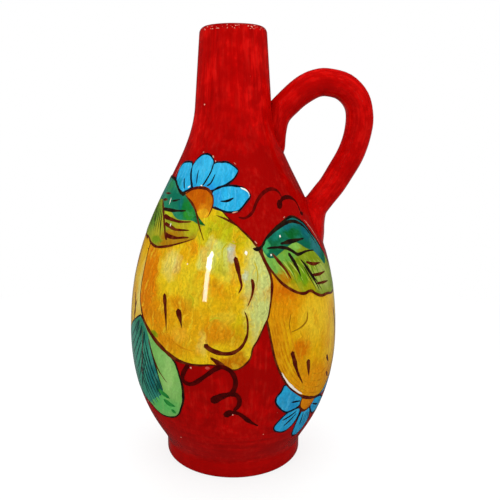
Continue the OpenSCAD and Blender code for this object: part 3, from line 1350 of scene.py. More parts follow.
# Painted figures, each with its paints, areas, strokes and places
MOTIFS = (
    Motif(
        "upper_tendril", ("tendril line", "thin tendril"), (), (
            Stroke(UPPER_TENDRIL, 1.9, 0.03, 1, end=0.7, taper=0.3),
            Stroke(UPPER_CURL, 2.0, 0.04, 0, start=1.0, end=0.6),
            Stroke(((56.2, 144.6), (58, 144), (60.5, 144.2)), 2.2, 0.05, 0, start=0.8),
            Stroke(((34.3, 148.5), (36.6, 149.8), (40.5, 151.8)), 4.0, 0.05, 0, start=0.9),
        ), FRONT_AND_REAR),
    Motif(
        # Pale streaks near the right edge of the shoulder: red rubbed thin, and painted reflections that the
        # glaze shows at a grazing angle
        "shoulder_streaks_and_sheen", ("rubbed red and sheen",), (), (
            Stroke(((77, 173), (74.5, 166), (72, 159), (71.5, 152)), 0.5, 0.02, 0),
            Stroke(((84, 171), (81, 164), (78.5, 157)), 0.5, 0.02, 0),
            Stroke(((66, 168), (64.5, 160), (65, 151)), 0.4, 0.02, 0),
        ), (Place("right"),)),
    Motif(
        "lower_tendril", ("tendril line", "thin edge and glint", "rubbed red and sheen"), (), (
            Stroke(LOWER_TENDRIL, 2.2, 0.23, 0, start=1.0, end=1.0),
            Stroke(LOWER_BLOB, 3.7, 0.23, 0, start=1.0, end=0.6),
            Stroke(LOWER_CURL, 2.5, 0.24, 0, start=0.6, end=0.7),
            Stroke(LOWER_FOOT, 3.4, 0.24, 0, start=0.9, end=0.6),
            Stroke(LOWER_TAIL, 2.3, 0.25, 0, start=0.8, end=0.2),
            # Painted highlights on the red under the lemon: a pale glint and a pinkish sheen
            Stroke(((-22, 71.4), (-21.3, 70.6)), 0.9, 0.05, 1),
            Stroke(((-14.2, 71.8), (-11.4, 72)), 1.5, 0.04, 2),
        ), FRONT_AND_REAR),
    Motif(
        "lower_daisy", ("blue petal", "orange disc", "navy line", "umber line"), LOWER_DAISY[0], (
            *LOWER_DAISY[1],
            *hatch(((48, 38.5), (50.5, 38)), ((48.5, 25.5), (54, 29)), 3, 0.2, 0.5, 0.05, 2),
        ), (*FRONT_AND_REAR, Place("side", 55.0))),
    Motif(
        "slim_lemon", ("slim lemon", "umber line", "bare white and glint", "dragged line", "ochre line"),
        (Patch(SLIM_LEMON, 0.11),), (
            Stroke(((31.2, 98), (29.6, 92), (30.4, 88.4)), 0.6, 0.13, 4),
            *drags(SLIM_LEMON[1:10], SLIM_MIDDLE, (0.95, 0.91, 0.86, 0.8, 0.73, 0.65), 0.9, 0.12, 3),
            *drags(SLIM_LEMON[9:15], SLIM_MIDDLE, (0.93, 0.85, 0.76, 0.66), 1.1, 0.12, 3),
            Stroke(SLIM_LEMON, 1.1, 0.13, closed=True), Stroke(SLIM_LEMON[8:12], 2.0, 0.13, start=0.2),
            Stroke(((25, 68), (27.5, 63.2), (31, 59), (35.3, 55.2), (40, 52.2)), 2.0, 0.125, 2, start=0.2),
            Stroke(((31, 78.3), (32.5, 73), (35, 65.8), (39.3, 58.5)), 2.5, 0.13, start=1.0, taper=0.7),
            Stroke(((42, 71.5), (42.6, 67.5), (43.4, 61.5)), 3.6, 0.13, start=0.9, end=0.1, taper=0.9),
            Stroke(((60, 68.5), (63.5, 63.5)), 2.0, 0.13, start=1.0),
            Stroke(((62.5, 58), (66.5, 53.5)), 1.8, 0.13),
            Stroke(((72, 92), (75, 83), (74, 74)), 1.9, 0.13),
            Stroke(((42, 97.5), (41.5, 92.5), (37, 89.5), (30, 88)), 1.0, 0.13, 4),
        ), (Place("right"), Place("left", -143.0, 9.0), Place("side", 70.0))),
    Motif(
        "sliver_lines", ("umber line", "slim lemon"), (Patch(SLIVER_TOP, 0.135, 1),), (
            Stroke(((-77.8, 126), (-79, 119.5), (-80.6, 112), (-84, 102), (-84.5, 93)), 1.1, 0.14, 0),
            Stroke(((-66, 98), (-67.5, 94), (-70, 88)), 1.3, 0.14, 0),
        ), (Place("left"),)),
    Motif(
        "lower_leaf", ("lower leaf", "leaf line", "lower dark", "umber line", "teal line", "green dab"),
        (Patch(LOWER_LEAF, 0.15), Patch(LOWER_DARK, 0.165, 2)), (
            Stroke(LOWER_LEAF, 0.9, 0.18, closed=True), Stroke(LOWER_LEAF[12:18], 1.5, 0.18, start=0.2),
            Stroke(((-50, 80), (-46, 71.5), (-42, 65), (-36.5, 59.5)), 1.2, 0.18, 3),
            Stroke(((-50, 81), (-46.8, 73), (-43.5, 64), (-40.5, 54)), 1.0, 0.18),
            Stroke(((-56, 49), (-55, 45), (-53, 41)), 2.2, 0.17, 2),
            Stroke(((-52, 50), (-50.5, 46.5), (-48.5, 43.5)), 2.2, 0.17, 2),
            Stroke(((-47.5, 52), (-46.3, 49.5), (-44.6, 47)), 2.2, 0.17, 2),
            *hatch(((-61, 88), (-53, 68)), ((-80, 70), (-66, 45)), 7, 1.0, 1.0, 0.175, 4),
            *hatch(((-55, 83), (-60, 60)), ((-38, 47), (-51, 38.5)), 6, -1.0, 1.2, 0.175, 4),
            *hatch(((-60, 88), (-54, 84)), ((-66, 79), (-56, 74)), 3, 0.4, 1.6, 0.18, 4),
            Stroke(((-56.5, 84), (-56, 75), (-58, 64), (-61, 49)), 0.9, 0.18, 3),
            Stroke(((-44.5, 53.4), (-40.5, 52.2), (-36, 50.6)), 3.2, 0.18, 5),
            Stroke(((-41.5, 48.6), (-37.5, 47), (-33, 46.6)), 3.0, 0.18, 5),
            Stroke(((-37, 43.6), (-33.5, 42)), 2.2, 0.18, 5),
        ), FRONT_AND_REAR),
    Motif(
        "great_lemon", ("great lemon", "umber line", "bare white and glint", "dragged line", "sap line", "thin edge and glint"),
        (Patch(GREAT_LEMON, 0.2),), (
            Stroke(GREAT_LEMON, 0.8, 0.22, closed=True),
            Stroke(GREAT_LEMON[17:28], 1.6, 0.22, start=0.3, end=0.3),
            Stroke(((3, 140.6), (-4, 143.7), (-12, 145.8)), 1.1, 0.22),
            Stroke(GREAT_LEMON[3:11], 2.3, 0.22, start=0.3, end=0.3),
            Stroke(((1, 126.8), (2.4, 122), (3.8, 116), (4.4, 112.6), (2.6, 109.3)), 2.4, 0.22, start=1.0,
                taper=0.7),
            Stroke(((9.8, 116.4), (10.6, 113.3), (9.8, 108.5), (7.2, 103)), 1.9, 0.22, start=0.9, end=0.15,
                taper=0.8),
            Stroke(((-39.5, 106.5), (-38.2, 101), (-37, 94.5), (-36.2, 87.6)), 2.5, 0.22, start=1.0,
                end=0.1, taper=0.8),
            Stroke(((-29.7, 100.4), (-28.6, 97), (-27.4, 93.5), (-26.5, 90.5)), 3.4, 0.22, start=0.8,
                end=0.05, taper=0.85),
            Stroke(((-14.5, 84.3), (-11.5, 81.8), (-6, 80), (-0.5, 80.3), (4, 83.3), (6.7, 88.5), (7.3, 94),
                (6.8, 98), (5.6, 101)), 2.5, 0.22, start=1.0, end=0.2, taper=0.8),
            Stroke(((-11.5, 77.7), (-8.5, 75.8), (-4.5, 73), (0, 71.5)), 2.4, 0.22),
            Stroke(((-12.5, 95.5), (-9, 97.6), (-5.5, 97)), 0.7, 0.21, 4),
            Stroke(((1, 93), (0, 89.5), (-3, 87.4)), 0.7, 0.21, 3),
            Stroke(((-24, 108), (-21, 105.5), (-22, 101)), 0.8, 0.21, 4),
            Stroke(((-33, 84), (-27, 81), (-20, 79.8)), 0.8, 0.21, 3),
            Stroke(((-44, 97), (-42, 90), (-36, 84)), 0.8, 0.21, 3),
            Stroke(((-6, 137.5), (-2.5, 134), (2, 132.6), (7.5, 133.5)), 0.8, 0.21, 4),
            Stroke(((-3.5, 133), (-6.5, 129.5), (-5.5, 125)), 0.8, 0.21, 4),
            Stroke(((3, 136.5), (7, 135)), 0.7, 0.21, 4),
            Stroke(((-23, 137), (-20.5, 133), (-21, 128.5)), 0.8, 0.21, 4),
            Stroke(((12, 125), (13.5, 118), (12, 112)), 0.7, 0.21, 4),
            Stroke(((12.4, 133.4), (14.6, 132.4)), 1.3, 0.21, 5),
            Stroke(((-26.8, 121.8), (-26.4, 122.6)), 0.5, 0.23, 2),
            # A white dot on the lemon that also stands as a painted glint of a small window
            Stroke(((7.3, 129.4), (7.7, 127.2)), 1.7, 0.22, 2),
        ), FRONT_AND_REAR),
    Motif(
        "right_leaf",
        ("right leaf", "leaf line", "bare white and glint", "umber line", "right dark", "pale line", "moss line",
            "thin edge and glint"),
        (Patch(RIGHT_LEAF, 0.24), Patch(RIGHT_DARK, 0.25, 4)), (
            Stroke(RIGHT_LEAF[:15], 1.2, 0.265, start=0.8),
            Stroke((*RIGHT_LEAF[13:], RIGHT_LEAF[0]), 1.5, 0.265, 3, start=0.6, end=0.8),
            Stroke(((11.5, 130.3), (15.5, 130), (20, 133)), 2.0, 0.265),
            Stroke(((20, 134), (28, 138), (38, 141), (46, 141), (54, 138), (60, 132),
                (64, 127)), 1.7, 0.265),
            Stroke(((20, 130), (27.5, 130), (34, 129), (39, 126.5), (41.5, 125.3), (49.5, 126),
                (58, 125.3)), 1.7, 0.265),
            Stroke(((29.5, 131.5), (38, 132), (50.5, 132.3)), 2.1, 0.265),
            Stroke(((23, 127.7), (27, 123), (30.5, 119), (33.5, 114)), 1.7, 0.265, 3),
            Stroke(((34, 127), (37, 122.5), (39, 118.5), (40.5, 114.5)), 2.2, 0.265, start=0.8),
            Stroke(((42.5, 123), (47, 117), (51, 111.5), (55, 105)), 1.6, 0.265),
            Stroke(((45, 121.5), (50, 114.5), (58, 104)), 0.7, 0.265),
            Stroke(((43.5, 120), (48, 112), (52, 106)), 0.7, 0.265),
            Stroke(((46.5, 121), (53, 119), (62, 118.3)), 1.7, 0.265, 3, start=0.7),
            Stroke(((50, 114), (57, 113), (66, 113)), 1.7, 0.265, 3, start=0.7),
            Stroke(((53, 109), (60, 108.2), (68, 107.5)), 1.5, 0.265, 3, start=0.7),
            *hatch(((25, 124), (58, 121)), ((33, 112), (74, 104)), 9, 0.5, 0.7, 0.255, 5),
            *hatch(((31, 125), (52, 123)), ((38, 109), (61, 103)), 6, 0.5, 0.8, 0.257, 6),
            Stroke(((57, 141), (62, 136.8), (66, 132), (69.5, 126)), 0.45, 0.28, 7),
            Stroke(((36.5, 143.4), (38.6, 144)), 0.5, 0.28, 7),
            Stroke(((30, 135.3), (31.2, 134.8)), 1.3, 0.27, 2),
            Stroke(((22, 127), (23, 126.5)), 1.1, 0.27, 2),
        ), (Place("right"), Place("left", -172.0), Place("side", 91.0))),
    Motif(
        "upper_daisy", ("blue petal", "orange disc", "navy line", "umber line", "bare white and glint", "thin edge and glint"),
        UPPER_DAISY[0], (
            *UPPER_DAISY[1],
            Stroke(((5.7, 158.8), (10.2, 157.6), (12.6, 155.8), (12.2, 154)), 0.8, 0.25, 4),
            Stroke(((-41.2, 157.9), (-38.6, 158.9)), 0.8, 0.25, 4),
            Stroke(((-28.6, 159.5), (-26.4, 159.1)), 0.8, 0.25, 4),
            Stroke(((-35.6, 175.5), (-33.8, 175.8)), 0.4, 0.25, 5),
            Stroke(((-22.6, 174.1), (-20.4, 172.9)), 0.7, 0.25, 5),
            Stroke(((-18.6, 171.8), (-17.8, 170.9)), 0.9, 0.25, 5),
            Stroke(((0.6, 170.8), (2.8, 169.8)), 0.4, 0.25, 5),
            Stroke(((-1, 146.9), (3.4, 147.6)), 0.5, 0.25, 5),
            Stroke(((-65, 169), (-67.5, 165.5), (-68, 162.5)), 0.6, 0.25, 5),
        ), FRONT_AND_REAR),
    Motif(
        "upper_leaf", ("upper leaf", "leaf line", "umber line", "upper dark", "olive line", "bare white and glint"),
        (Patch(UPPER_LEAF, 0.29), Patch(UPPER_DARK, 0.3, 3)), (
            Stroke(UPPER_LEAF[4:14], 1.4, 0.32, 2, start=0.2),
            Stroke(UPPER_LEAF[13:22], 1.3, 0.32, end=1.0),
            Stroke(((-50, 156), (-45, 154.8), (-41, 154.6)), 1.8, 0.32, end=1.0),
            Stroke(((-73, 150.8), (-64, 146.8), (-58, 143.2), (-52, 138), (-48, 133.6),
                (-45.5, 132)), 1.6, 0.32, 2, end=0.9),
            Stroke(((-71, 153.6), (-65, 153.7), (-60, 154)), 1.2, 0.32, 2),
            Stroke(((-70, 150.1), (-65, 150.5), (-61, 150.6)), 1.4, 0.32, 2),
            Stroke(((-55, 150.5), (-50, 151), (-44.5, 152)), 0.9, 0.32),
            Stroke(((-63, 146), (-54, 146.1), (-45, 146.3), (-35.5, 146.9)), 1.8, 0.32, start=1.0, end=0.35,
                taper=0.7),
            Stroke(((-57, 143.2), (-52, 142.4), (-45, 141.8), (-40, 141.4), (-34, 141.6),
                (-29, 142)), 2.2, 0.32, 2, start=1.0, taper=0.85),
            Stroke(((-53, 139.6), (-50, 139.1), (-44, 138.1), (-40, 137.5), (-34, 137.7),
                (-29, 137.9)), 1.9, 0.32, 2, start=1.0, taper=0.7),
            Stroke(((-49.5, 134.6), (-46, 134), (-43, 133.7), (-38, 133.6), (-33, 134.2),
                (-28.3, 134.6)), 2.3, 0.32, 2, start=1.0, taper=0.8),
            Stroke(((-77.4, 145.7), (-73.2, 141.8), (-64, 136.2)), 0.9, 0.315),
            Stroke(((-61.7, 143.9), (-58.4, 139.1), (-54.5, 134.4)), 0.9, 0.315),
            Stroke(((-83.6, 141.6), (-78.7, 138.8), (-73, 136)), 0.9, 0.315),
            Stroke(((-41, 154.2), (-35, 152), (-30, 149.3), (-26.3, 145.8), (-22.5, 140),
                (-18, 133.5)), 1.3, 0.32, 2),
            *hatch(((-90, 150), (-64, 146)), ((-80, 136), (-53, 132)), 8, 0.9, 1.0, 0.31, 4),
            Stroke(((-57, 152.2), (-56.4, 150.2), (-56, 148.4)), 0.8, 0.325, 5),
            Stroke(((-46.4, 140.2), (-46, 138.4)), 0.9, 0.325, 5),
        ), FRONT_AND_REAR),
)

PAINTS = {
    # Washes: wet pools of colour that shade into each other and show the hairs of the brush
    "great lemon": WashPaint(
        "Yellow underglaze wash, great lemon", "#D6B010", "#CA8004", "#DECA2E", (
            Spot("#BAC26E", (15.5, 108), (12, 36), gain=2.2),
            Spot("#AEAC10", (-4, 139), (24, 12), gain=2.0),
            Spot("#C4B838", (-3, 121), (8, 9), gain=2.0, most=0.7),
            Spot("#BAC664", (-9, 127), (12, 9), gain=2.0, most=0.75),
            Spot("#CC7204", (-57, 106), (14, 34), gain=2.4),
            Spot("#CC7202", (-53, 117), (8, 12), most=0.85),
            Spot("#D8B81A", (-30, 115), (19, 10), gain=2.2, most=0.85),
            Spot("#D2BC50", (-38, 121), (8, 10), gain=2.0),
            Spot("#D2CA72", (-34, 122), (4, 6), gain=1.6, most=0.7),
            Spot("#CC8A08", (-24.5, 130), (4, 5), gain=2.2),
            Spot("#D08C0A", (-30, 91), (25, 18), gain=4.0, most=0.6),
            Spot("#C88008", (-27, 103), (8, 5), gain=2.2, most=0.8),
            Spot("#CA7C06", (-36, 83), (10, 7), most=0.8), Spot("#CC7E06", (-46, 95), (6, 8), most=0.8),
            Spot("#CA8608", (-8.5, 111), (6, 6), gain=2.2, most=0.85),
            Spot("#CA9A0C", (-6, 103), (12, 9), gain=2.2, most=0.7),
            Spot("#CDAA22", (-5, 97.5), (7, 5), gain=2.5, most=0.8),
            Spot("#C47606", (-6, 90), (12, 7.5), gain=1.7, most=0.85),
            # Painted reflection: a pale streak that carries the window's reflection on down the lemon
            Spot("#DEC658", (-15.6, 84), (3.2, 9), gain=1.6, most=0.6),
            Spot("#B8A60C", (4, 92), (5, 9), most=0.7), Spot("#BC8A0A", (0, 85.5), (7, 4), most=0.7),
            Spot("#D07A04", (-42, 93), (9, 12), gain=1.6, most=0.6),
            Spot("#E0A428", (-28, 87.5), (6, 5), gain=2.0, most=0.6),
            Spot("#BA7A06", (4, 77.5), (8, 5), gain=2.0), Spot("#B06402", (-3, 74.5), (8, 3.5), gain=2.2),
            Spot("#CCAE20", (7.5, 80.5), (3, 5), gain=2.0),
            Spot("#7A8A0C", (-45, 84), (3.4, 2.2), gain=3.0),
            # Pale bluish spots where the yellow thins, which also stand as painted highlights of small
            # windows
            Spot("#ACC8BE", (-0.6, 129), (3, 5.5), gain=1.6, most=0.8),
            Spot("#B8C6A8", (6.6, 117.2), (2.0, 3.8), gain=2.2, most=0.7),
            Spot("#C4C468", (-13, 132), (5, 4), gain=2.0, most=0.6),
            # Painted reflection: pale haze beside the window's reflection
            Spot("#CCCC60", (-18, 125), (3.4, 7), gain=2.0, most=0.8),
            Spot("#B4AC10", (-8, 122), (5, 5), gain=2.0, most=0.7),
            Spot("#C6B01C", (-22, 111), (6, 14), gain=1.6, most=0.7),
            Spot("#8A9008", (-14.5, 139), (2.2, 1.6), gain=3.0),
            Spot("#A08C08", (-4, 141), (4, 2), gain=2.0, most=0.8),
        ), mottle=0.58, change=0.33),
    "slim lemon": WashPaint(
        "Yellow underglaze wash, slim lemon", "#D49F08", "#C67804", "#DCB41E", (
            Spot("#D48A06", (29, 104), (12, 12)), Spot("#CC8206", (21.5, 85), (7, 28), gain=1.4),
            Spot("#C26402", (28, 111), (13, 9), gain=1.5), Spot("#C87002", (37, 78), (9, 7), gain=2.0),
            Spot("#D68A06", (48, 57), (28, 14)), Spot("#DCB422", (48, 92), (15, 16), gain=1.6),
            Spot("#DCB22A", (72, 88), (22, 34), gain=1.6), Spot("#D6C870", (81, 96), (8, 20), most=0.8),
        ), change=0.26),
    "upper leaf": WashPaint(
        "Green underglaze wash, upper leaf", "#8E9620", "#6C8420", "#B4AC34", (
            Spot("#AC9A14", (-33, 137), (16, 6)), Spot("#5E8A2A", (-74, 141), (18, 10), gain=1.5),
            Spot("#A2700A", (-40, 132), (24, 6), gain=2.4), Spot("#A09A20", (-58, 137), (9, 9), gain=1.4),
            Spot("#A8B41C", (-52, 144.4), (7, 2.5), gain=2.0),
            Spot("#6E8A10", (-57, 131.5), (8, 3), gain=2.0), Spot("#AAA814", (-27, 139), (5, 5), gain=2.0),
        ), mottle=0.4, turn=-40.0),
    "upper dark": WashPaint(
        "Teal underglaze wash, dark half of the upper leaf", "#1E7856", "#0C5A48", "#4A9878", (
            Spot("#0C664E", (-50, 152.5), (17, 7), -16.0, gain=1.5),
            Spot("#0E6C2E", (-35, 147), (13, 6), -22.0, gain=1.5),
            Spot("#0A5418", (-23.5, 143), (9, 4), -25.0, gain=1.6), Spot("#3E8070", (-82, 156), (20, 8)),
            Spot("#2A8026", (-32, 145), (7, 3.5), gain=2.0),
            Spot("#0A6064", (-43, 150), (4, 4), gain=2.0, most=0.7),
            Spot("#1E7A24", (-36, 150), (5, 3), -20.0, gain=1.6, most=0.45),
            Spot("#2E7E42", (-68, 157), (8, 4), gain=2.0, most=0.8),
        ), mottle=0.35, turn=-16.0, change=0.22),
    "right leaf": WashPaint(
        "Green underglaze wash, right leaf", "#7A8C16", "#5C8212", "#A0B638", (
            Spot("#70AE4C", (21.5, 121.5), (8, 8)), Spot("#7EB048", (41, 129), (7, 3), gain=2.0),
            Spot("#62A242", (33, 125.5), (10, 4.5), most=0.9), Spot("#9A980A", (44, 109), (16, 6)),
            Spot("#948E06", (36, 112), (8, 6)), Spot("#AE7208", (28, 114), (7, 6), gain=2.2),
            Spot("#BE9C12", (33.5, 109.5), (8, 3), gain=2.2), Spot("#6A9410", (41.5, 115), (5, 8)),
            Spot("#A4B44A", (53, 111), (3.5, 9), 36.0), Spot("#98A650", (62, 111), (12, 10), gain=1.6),
            Spot("#9CC054", (18, 128.5), (3, 4), gain=2.0),
        ), mottle=0.35, turn=-55.0, change=0.26),
    "right dark": WashPaint(
        "Teal underglaze wash, dark half of the right leaf", "#0A6046", "#064A3C", "#2E8C6A", (
            Spot("#126468", (40, 140.5), (18, 3.5), gain=2.0), Spot("#187A66", (29, 137), (6, 3.5), 35.0),
            Spot("#0E5E68", (56, 136), (9, 7)), Spot("#286E70", (62, 127), (9, 8), gain=1.6),
            Spot("#0A5A24", (40, 135.3), (10, 2.6), gain=2.0), Spot("#0E5A32", (26, 131), (7, 5), gain=1.6),
            Spot("#3C9C58", (19.5, 131), (3.5, 4), gain=2.0),
        ), mottle=0.4, turn=-20.0, change=0.24),
    "lower leaf": WashPaint(
        "Green underglaze wash, lower leaf", "#76B058", "#5AA248", "#94C075", (
            Spot("#5CB45C", (-44, 45), (17, 9)), Spot("#92C26A", (-36, 64), (8, 18), gain=1.4),
        ), mottle=0.4, turn=70.0),
    "lower dark": WashPaint(
        "Teal underglaze wash, dark half of the lower leaf", "#388C73", "#1E6858", "#5EA287", (
            Spot("#1C6C6A", (-47, 60), (9, 15), -24.0, gain=1.6),
            Spot("#1E6C4E", (-60, 84), (12, 8), gain=1.4), Spot("#4E8676", (-76, 58), (14, 18), gain=1.4),
            Spot("#0E5044", (-44, 54), (5, 6)),
        ), mottle=0.5, turn=70.0, change=0.25),
    "blue petal": WashPaint(
        "Blue underglaze wash, petals", "#26A0CE", "#187FB8", "#58BADF", (
            Spot("#32A8D4", (-30, 170), (40, 8)), Spot("#26A0D0", (44, 34), (40, 16)),
            Spot("#128C9A", (-57, 158.5), (9, 4)), Spot("#1C88CC", (-20, 158.5), (8, 3), most=0.8),
            Spot("#1E8ED2", (-12, 154), (4, 4), most=0.7), Spot("#2896C4", (30, 50), (10, 8)),
        ), mottle=0.62, change=0.24),
    "orange disc": WashPaint(
        "Orange underglaze wash, discs", "#B45402", "#9C4402", "#C6760A", (
            Spot("#C47C0A", (-19, 152), (3.4, 5), most=0.7), Spot("#C86A04", (-36, 153), (5, 3), most=0.7),
            Spot("#C67A0C", (-20, 148), (7, 4.5), gain=2.0),
            Spot("#D8A41A", (-22, 145.3), (7, 2.6), gain=2.5),
            Spot("#B65602", (-35, 155), (8, 3), gain=1.6), Spot("#D07C06", (46, 46), (10, 9), gain=2.2),
        ), mottle=0.5),
    # Glaze that the colours leave bare: milky white with hardly a mark, and one small dot of it painted as a
    # glint on the great lemon
    "bare white and glint": WashPaint("White tin glaze, left bare", "#EDE7DA", "#E2DAC8", "#F4F0E8", change=0.04),
    # Lines and dabs: full colour where the brush was loaded, and weaker where it ran dry
    "umber line": LinePaint("Brown underglaze line, brushed", "#4A0E05", "#6E300F"),
    "navy line": LinePaint("Black underglaze line, brushed", "#0A0C14", "#1C2230"),
    "teal line": LinePaint("Dark teal underglaze line, brushed", "#08282A", "#145450"),
    "olive line": LinePaint("Olive underglaze line, brushed", "#2A3206", "#4E5C10"),
    "leaf line": LinePaint("Dark underglaze line, brushed", "#140C0A", "#30200C"),
    "pale line": LinePaint("Pale green underglaze, dragged", "#AEC050", "#94AC34"),
    "moss line": LinePaint("Moss underglaze, dragged", "#4E7C12", "#729414"),
    "sap line": LinePaint("Olive underglaze, dragged", "#A89C0C", "#C0B424"),
    # Pale reds: thin colour at an edge and rubbed streaks, both also laid as painted glints and sheen
    "thin edge and glint": LinePaint("Red underglaze, thinned at an edge", "#D89A84", "#C87060"),
    "rubbed red and sheen": LinePaint("Red underglaze, rubbed thin", "#BC443A", "#B02A22"),
    "green dab": LinePaint("Green underglaze, dabbed", "#1C7430", "#35943E"),
    "ochre line": LinePaint("Ochre underglaze line, brushed", "#8A5A08", "#B07C0C"),
    "dragged line": LinePaint("Orange underglaze, dragged", "#BE7604", "#DCA010"),
    "tendril line": LinePaint("Dark red underglaze line, brushed", "#3A0302", "#520403"),
    "thin tendril": LinePaint("Dark red underglaze line, thin", "#4E0302", "#6C0504"),
}


@dataclass(frozen=True)
class Lamp:
    """A soft rectangular lamp, which lights the colours or is there for one piece of glaze to mirror."""

    name: str
    at: Point3
    aim: Point3
    size: Point
    radiance: float
    roll: float = 0.0
    mirrored_in: bpy.types.Object | None = None

    def hang(self) -> None:
        """Hangs the lamp."""
        data = bpy.data.lights.new(self.name, "AREA")
        data.shape = "RECTANGLE"
        data.size, data.size_y = (v * MM for v in self.size)
        data.energy = self.radiance * math.pi * data.size * data.size_y
        lamp = bpy.data.objects.new(self.name, data)
        lamp.location = Vector(self.at) * MM
        faced = (Vector(self.at) - Vector(self.aim)).to_track_quat("Z", "Y").to_matrix()
        lamp.rotation_euler = (faced @ Matrix.Rotation(math.radians(self.roll), 3, "Z")).to_euler()
        lamp.visible_camera = False
        lamp.visible_glossy = self.mirrored_in is not None
        lamp.visible_diffuse = self.mirrored_in is None
        if self.mirrored_in is not None:
            shown = bpy.data.collections.new(self.name)
            shown.objects.link(self.mirrored_in)
            lamp.light_linking.receiver_collection = shown
        bpy.context.scene.collection.objects.link(lamp)
        LOG.info("lamp: %s", self.name)


class Studio:
    """Camera, floor, backdrop light and lamps."""

    # Camera, fitted to the photograph
    camera_at = (0.0, -350.0, 193.9)
    pitch_down = 12.01
    focal_px = 630.0
    middle_px = 233.2
    image_px = 500.0
    sensor = 36.0
    nearest = 10.0

    # Large soft lamps that light the colours
    soft_lamps = (
        Lamp("left", (-540, -600, 620), (0, 0, 120), (700, 700), 2.2),
        Lamp("right", (540, -600, 620), (0, 0, 120), (700, 700), 2.2),
        Lamp("rear", (0, 760, 620), (0, 0, 120), (900, 500), 1.4),
        Lamp("top", (0, 60, 950), (0, 0, 0), (900, 900), 2.1),
        Lamp("left edge", (-600, 420, 130), (0, 0, 90), (500, 500), 2.6),
        Lamp("right edge", (600, 420, 130), (0, 0, 90), (500, 500), 2.6),
    )

    # Window that the front lemon mirrors, and its turn to the rear one
    panes_aim = (-12, -52, 116)
    panes = (
        Lamp("upper pane", (-135.3, -269, 221.7), panes_aim, (31, 30), 34.0, -5.0),
        Lamp("slanted pane", (-124.6, -265, 243), panes_aim, (22, 12), 34.0, 31.0),
        Lamp("lower pane", (-150.1, -285.5, 168.6), panes_aim, (25, 84), 13.0, -5.0),
    )
    rear_turn = -145.4

    # Room and table, by the heading in which they lie
    behind_span = (0.3, 0.8)
    table_span = (0.0, -0.2)
    table_light = 0.15
    near_span = (-0.6, -0.35)
    room_light = (0.03, 0.5)

    # Floor, which fades to pure white for the eye away from the bottle
    floor_half = 4000.0
    floor_parts = 8
    fibres_per_m = 90.0
    fibre_detail = 2.0
    paper = ("#F6F6F4", "#FAFAF8")
    paper_unseen = "#C2C2C0"
    white_reach = (0.1, 0.4)
    white_shares = (0.8, 1.0)

    def camera(self) -> None:
        """Sets the camera where the photograph was taken from."""
        data = bpy.data.cameras.new("camera")
        data.sensor_width = self.sensor
        data.lens = self.focal_px / self.image_px * self.sensor
        data.shift_x = 0.5 - self.middle_px / self.image_px
        data.clip_start = self.nearest * MM
        camera = bpy.data.objects.new("camera", data)
        camera.location = [v * MM for v in self.camera_at]
        camera.rotation_euler = (math.radians(RIGHT_ANGLE - self.pitch_down), 0.0, 0.0)
        bpy.context.scene.collection.objects.link(camera)
        bpy.context.scene.camera = camera
        LOG.info("camera: lens %.1f mm", data.lens)

    def lamps(self, front: bpy.types.Object, rear: bpy.types.Object) -> None:
        """Hangs the soft lamps, and a window with its panes before the front and the rear.

        Args:
            front: Piece that mirrors the front window.
            rear: Piece that mirrors the rear window.
        """
        for lamp in self.soft_lamps:
            lamp.hang()
        turn = Matrix.Rotation(math.radians(self.rear_turn), 3, "Z")
        for piece, side in ((front, Matrix.Identity(3)), (rear, turn)):
            for pane in self.panes:
                at, aim = (tuple(side @ Vector(v)) for v in (pane.at, pane.aim))
                name = f"{pane.name} before {piece.name}"
                replace(pane, name=name, at=at, aim=aim, mirrored_in=piece).hang()

    def world(self) -> None:
        """Sets a dim room, with a white backdrop for the eye and a pale table for the glaze to mirror."""
        world = bpy.data.worlds.new("studio")
        world.use_nodes = True
        tree = world.node_tree
        tree.nodes.clear()
        rays = add(tree, "LightPath").outputs
        seen = work_out(tree, "MAXIMUM", rays["Is Camera Ray"], rays["Is Transmission Ray"])
        heading = add(tree, "SeparateXYZ", {0: add(tree, "TexCoord").outputs["Generated"]}).outputs
        behind = ramp(tree, heading["Y"], self.behind_span)
        table = ramp(tree, heading["Z"], self.table_span, (0.0, self.table_light))
        near = ramp(tree, heading["Z"], self.near_span)
        mirrored = work_out(tree, "MULTIPLY", behind, table)
        strip = work_out(tree, "MULTIPLY", mirrored, near)
        glossy = work_out(tree, "MULTIPLY", strip, rays["Is Glossy Ray"])
        white = work_out(tree, "MAXIMUM", seen, glossy)
        room = ramp(tree, rays["Is Diffuse Ray"], (0.0, 1.0), self.room_light)
        strength = work_out(tree, "MAXIMUM", white, room)
        light = add(tree, "Background", {"Color": WHITE, "Strength": strength})
        add(tree, "OutputWorld", {"Surface": light.outputs[0]})
        world.cycles.sampling_method = "NONE"
        bpy.context.scene.world = world

    def floor(self) -> None:
        """Lays a large pale floor that keeps the bottle's shadow."""
        bm = bmesh.new()
        parts = self.floor_parts
        bmesh.ops.create_grid(bm, x_segments=parts, y_segments=parts, size=self.floor_half * MM)
        mesh = bpy.data.meshes.new("floor")
        bm.to_mesh(mesh)
        bm.free()
        mesh.materials.append(self.sweep())
        floor = bpy.data.objects.new("floor", mesh)
        floor.visible_glossy = False
        bpy.context.scene.collection.objects.link(floor)

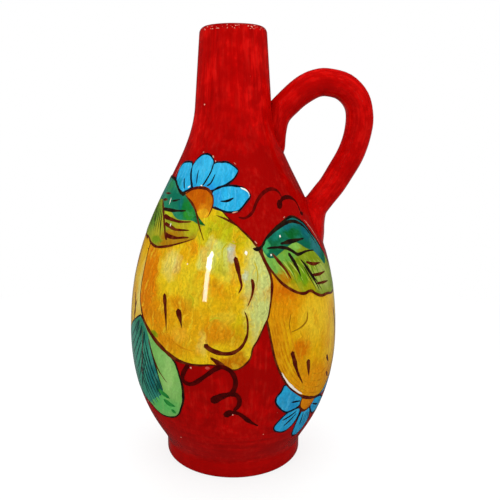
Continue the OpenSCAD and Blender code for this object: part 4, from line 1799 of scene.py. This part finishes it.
    def sweep(self) -> bpy.types.Material:
        """Makes the floor's paper: matt and faintly fibrous, and for the eye nearly as white as the backdrop.

        Returns:
            The material.
        """
        material = blank_material("White paper sweep")
        tree = material.node_tree
        place = add(tree, "TexCoord").outputs["Object"]
        eye = add(tree, "LightPath").outputs["Is Camera Ray"]
        fibre = add(tree, "TexNoise", {
            "Vector": place, "Scale": self.fibres_per_m, "Detail": self.fibre_detail})
        pale = blend(tree, fibre.outputs["Fac"], *(linear(code) for code in self.paper))
        colour = blend(tree, eye, linear(self.paper_unseen), pale)
        paper = add(tree, "BsdfDiffuse", {"Color": colour})
        white = add(tree, "Emission", {"Color": WHITE, "Strength": 1.0})
        away = add(tree, "VectorMath", {0: place}, operation="LENGTH").outputs["Value"]
        share = work_out(tree, "MULTIPLY", eye, ramp(tree, away, self.white_reach, self.white_shares))
        both = add(tree, "MixShader", {0: share, 1: paper.outputs[0], 2: white.outputs[0]})
        add(tree, "OutputMaterial", {"Surface": both.outputs[0]})
        return material


def main() -> None:
    """Builds the studio and every piece in order."""
    logging.basicConfig(level=logging.INFO, format="%(name)s %(message)s")
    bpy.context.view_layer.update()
    studio = Studio()
    studio.camera()
    studio.floor()
    studio.world()

    scene = bpy.context.scene
    scene.view_settings.view_transform = "Standard"

    # Glossy red, streaked up the bottle, round the foot and along the bar
    red = GroundGlaze("Red underglaze, brushed upwards", "#960100", "#CA0302", "#D8100B",
                      Brush.UP, Brush.ROUND, flecks_above=238.2)
    # The foot's red is darker than the bottle's: partly its own tone, partly painted shade low on the bottle
    foot = GroundGlaze("Red underglaze, brushed round", "#A00100", "#AC0302", "#B40503",
                       Brush.ROUND, rubbed=0.05)
    bar = GroundGlaze("Red underglaze, brushed along", "#9C0100", "#C00302", "#CA0A07",
                      Brush.ALONG, cloud_sizes=(11.0, 3.4), rubbed=0.18)

    wall = Wall()
    Bottle(wall).build(red.material())
    FootRing().build(foot.material())
    Handle().build(bar.material())
    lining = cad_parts["lining"]
    lining.data.materials.clear()
    lining.data.materials.append(LiningGlaze().material())
    LOG.info("lining: kept from the frame")

    painter = Painter(Sheet(wall), {name: paint.material() for name, paint in PAINTS.items()})
    pieces = {piece.name: piece for motif in MOTIFS for piece in painter.paint(motif)}
    studio.lamps(pieces["great_lemon_front"], pieces["great_lemon_rear"])


if __name__ == "__main__":
    main()
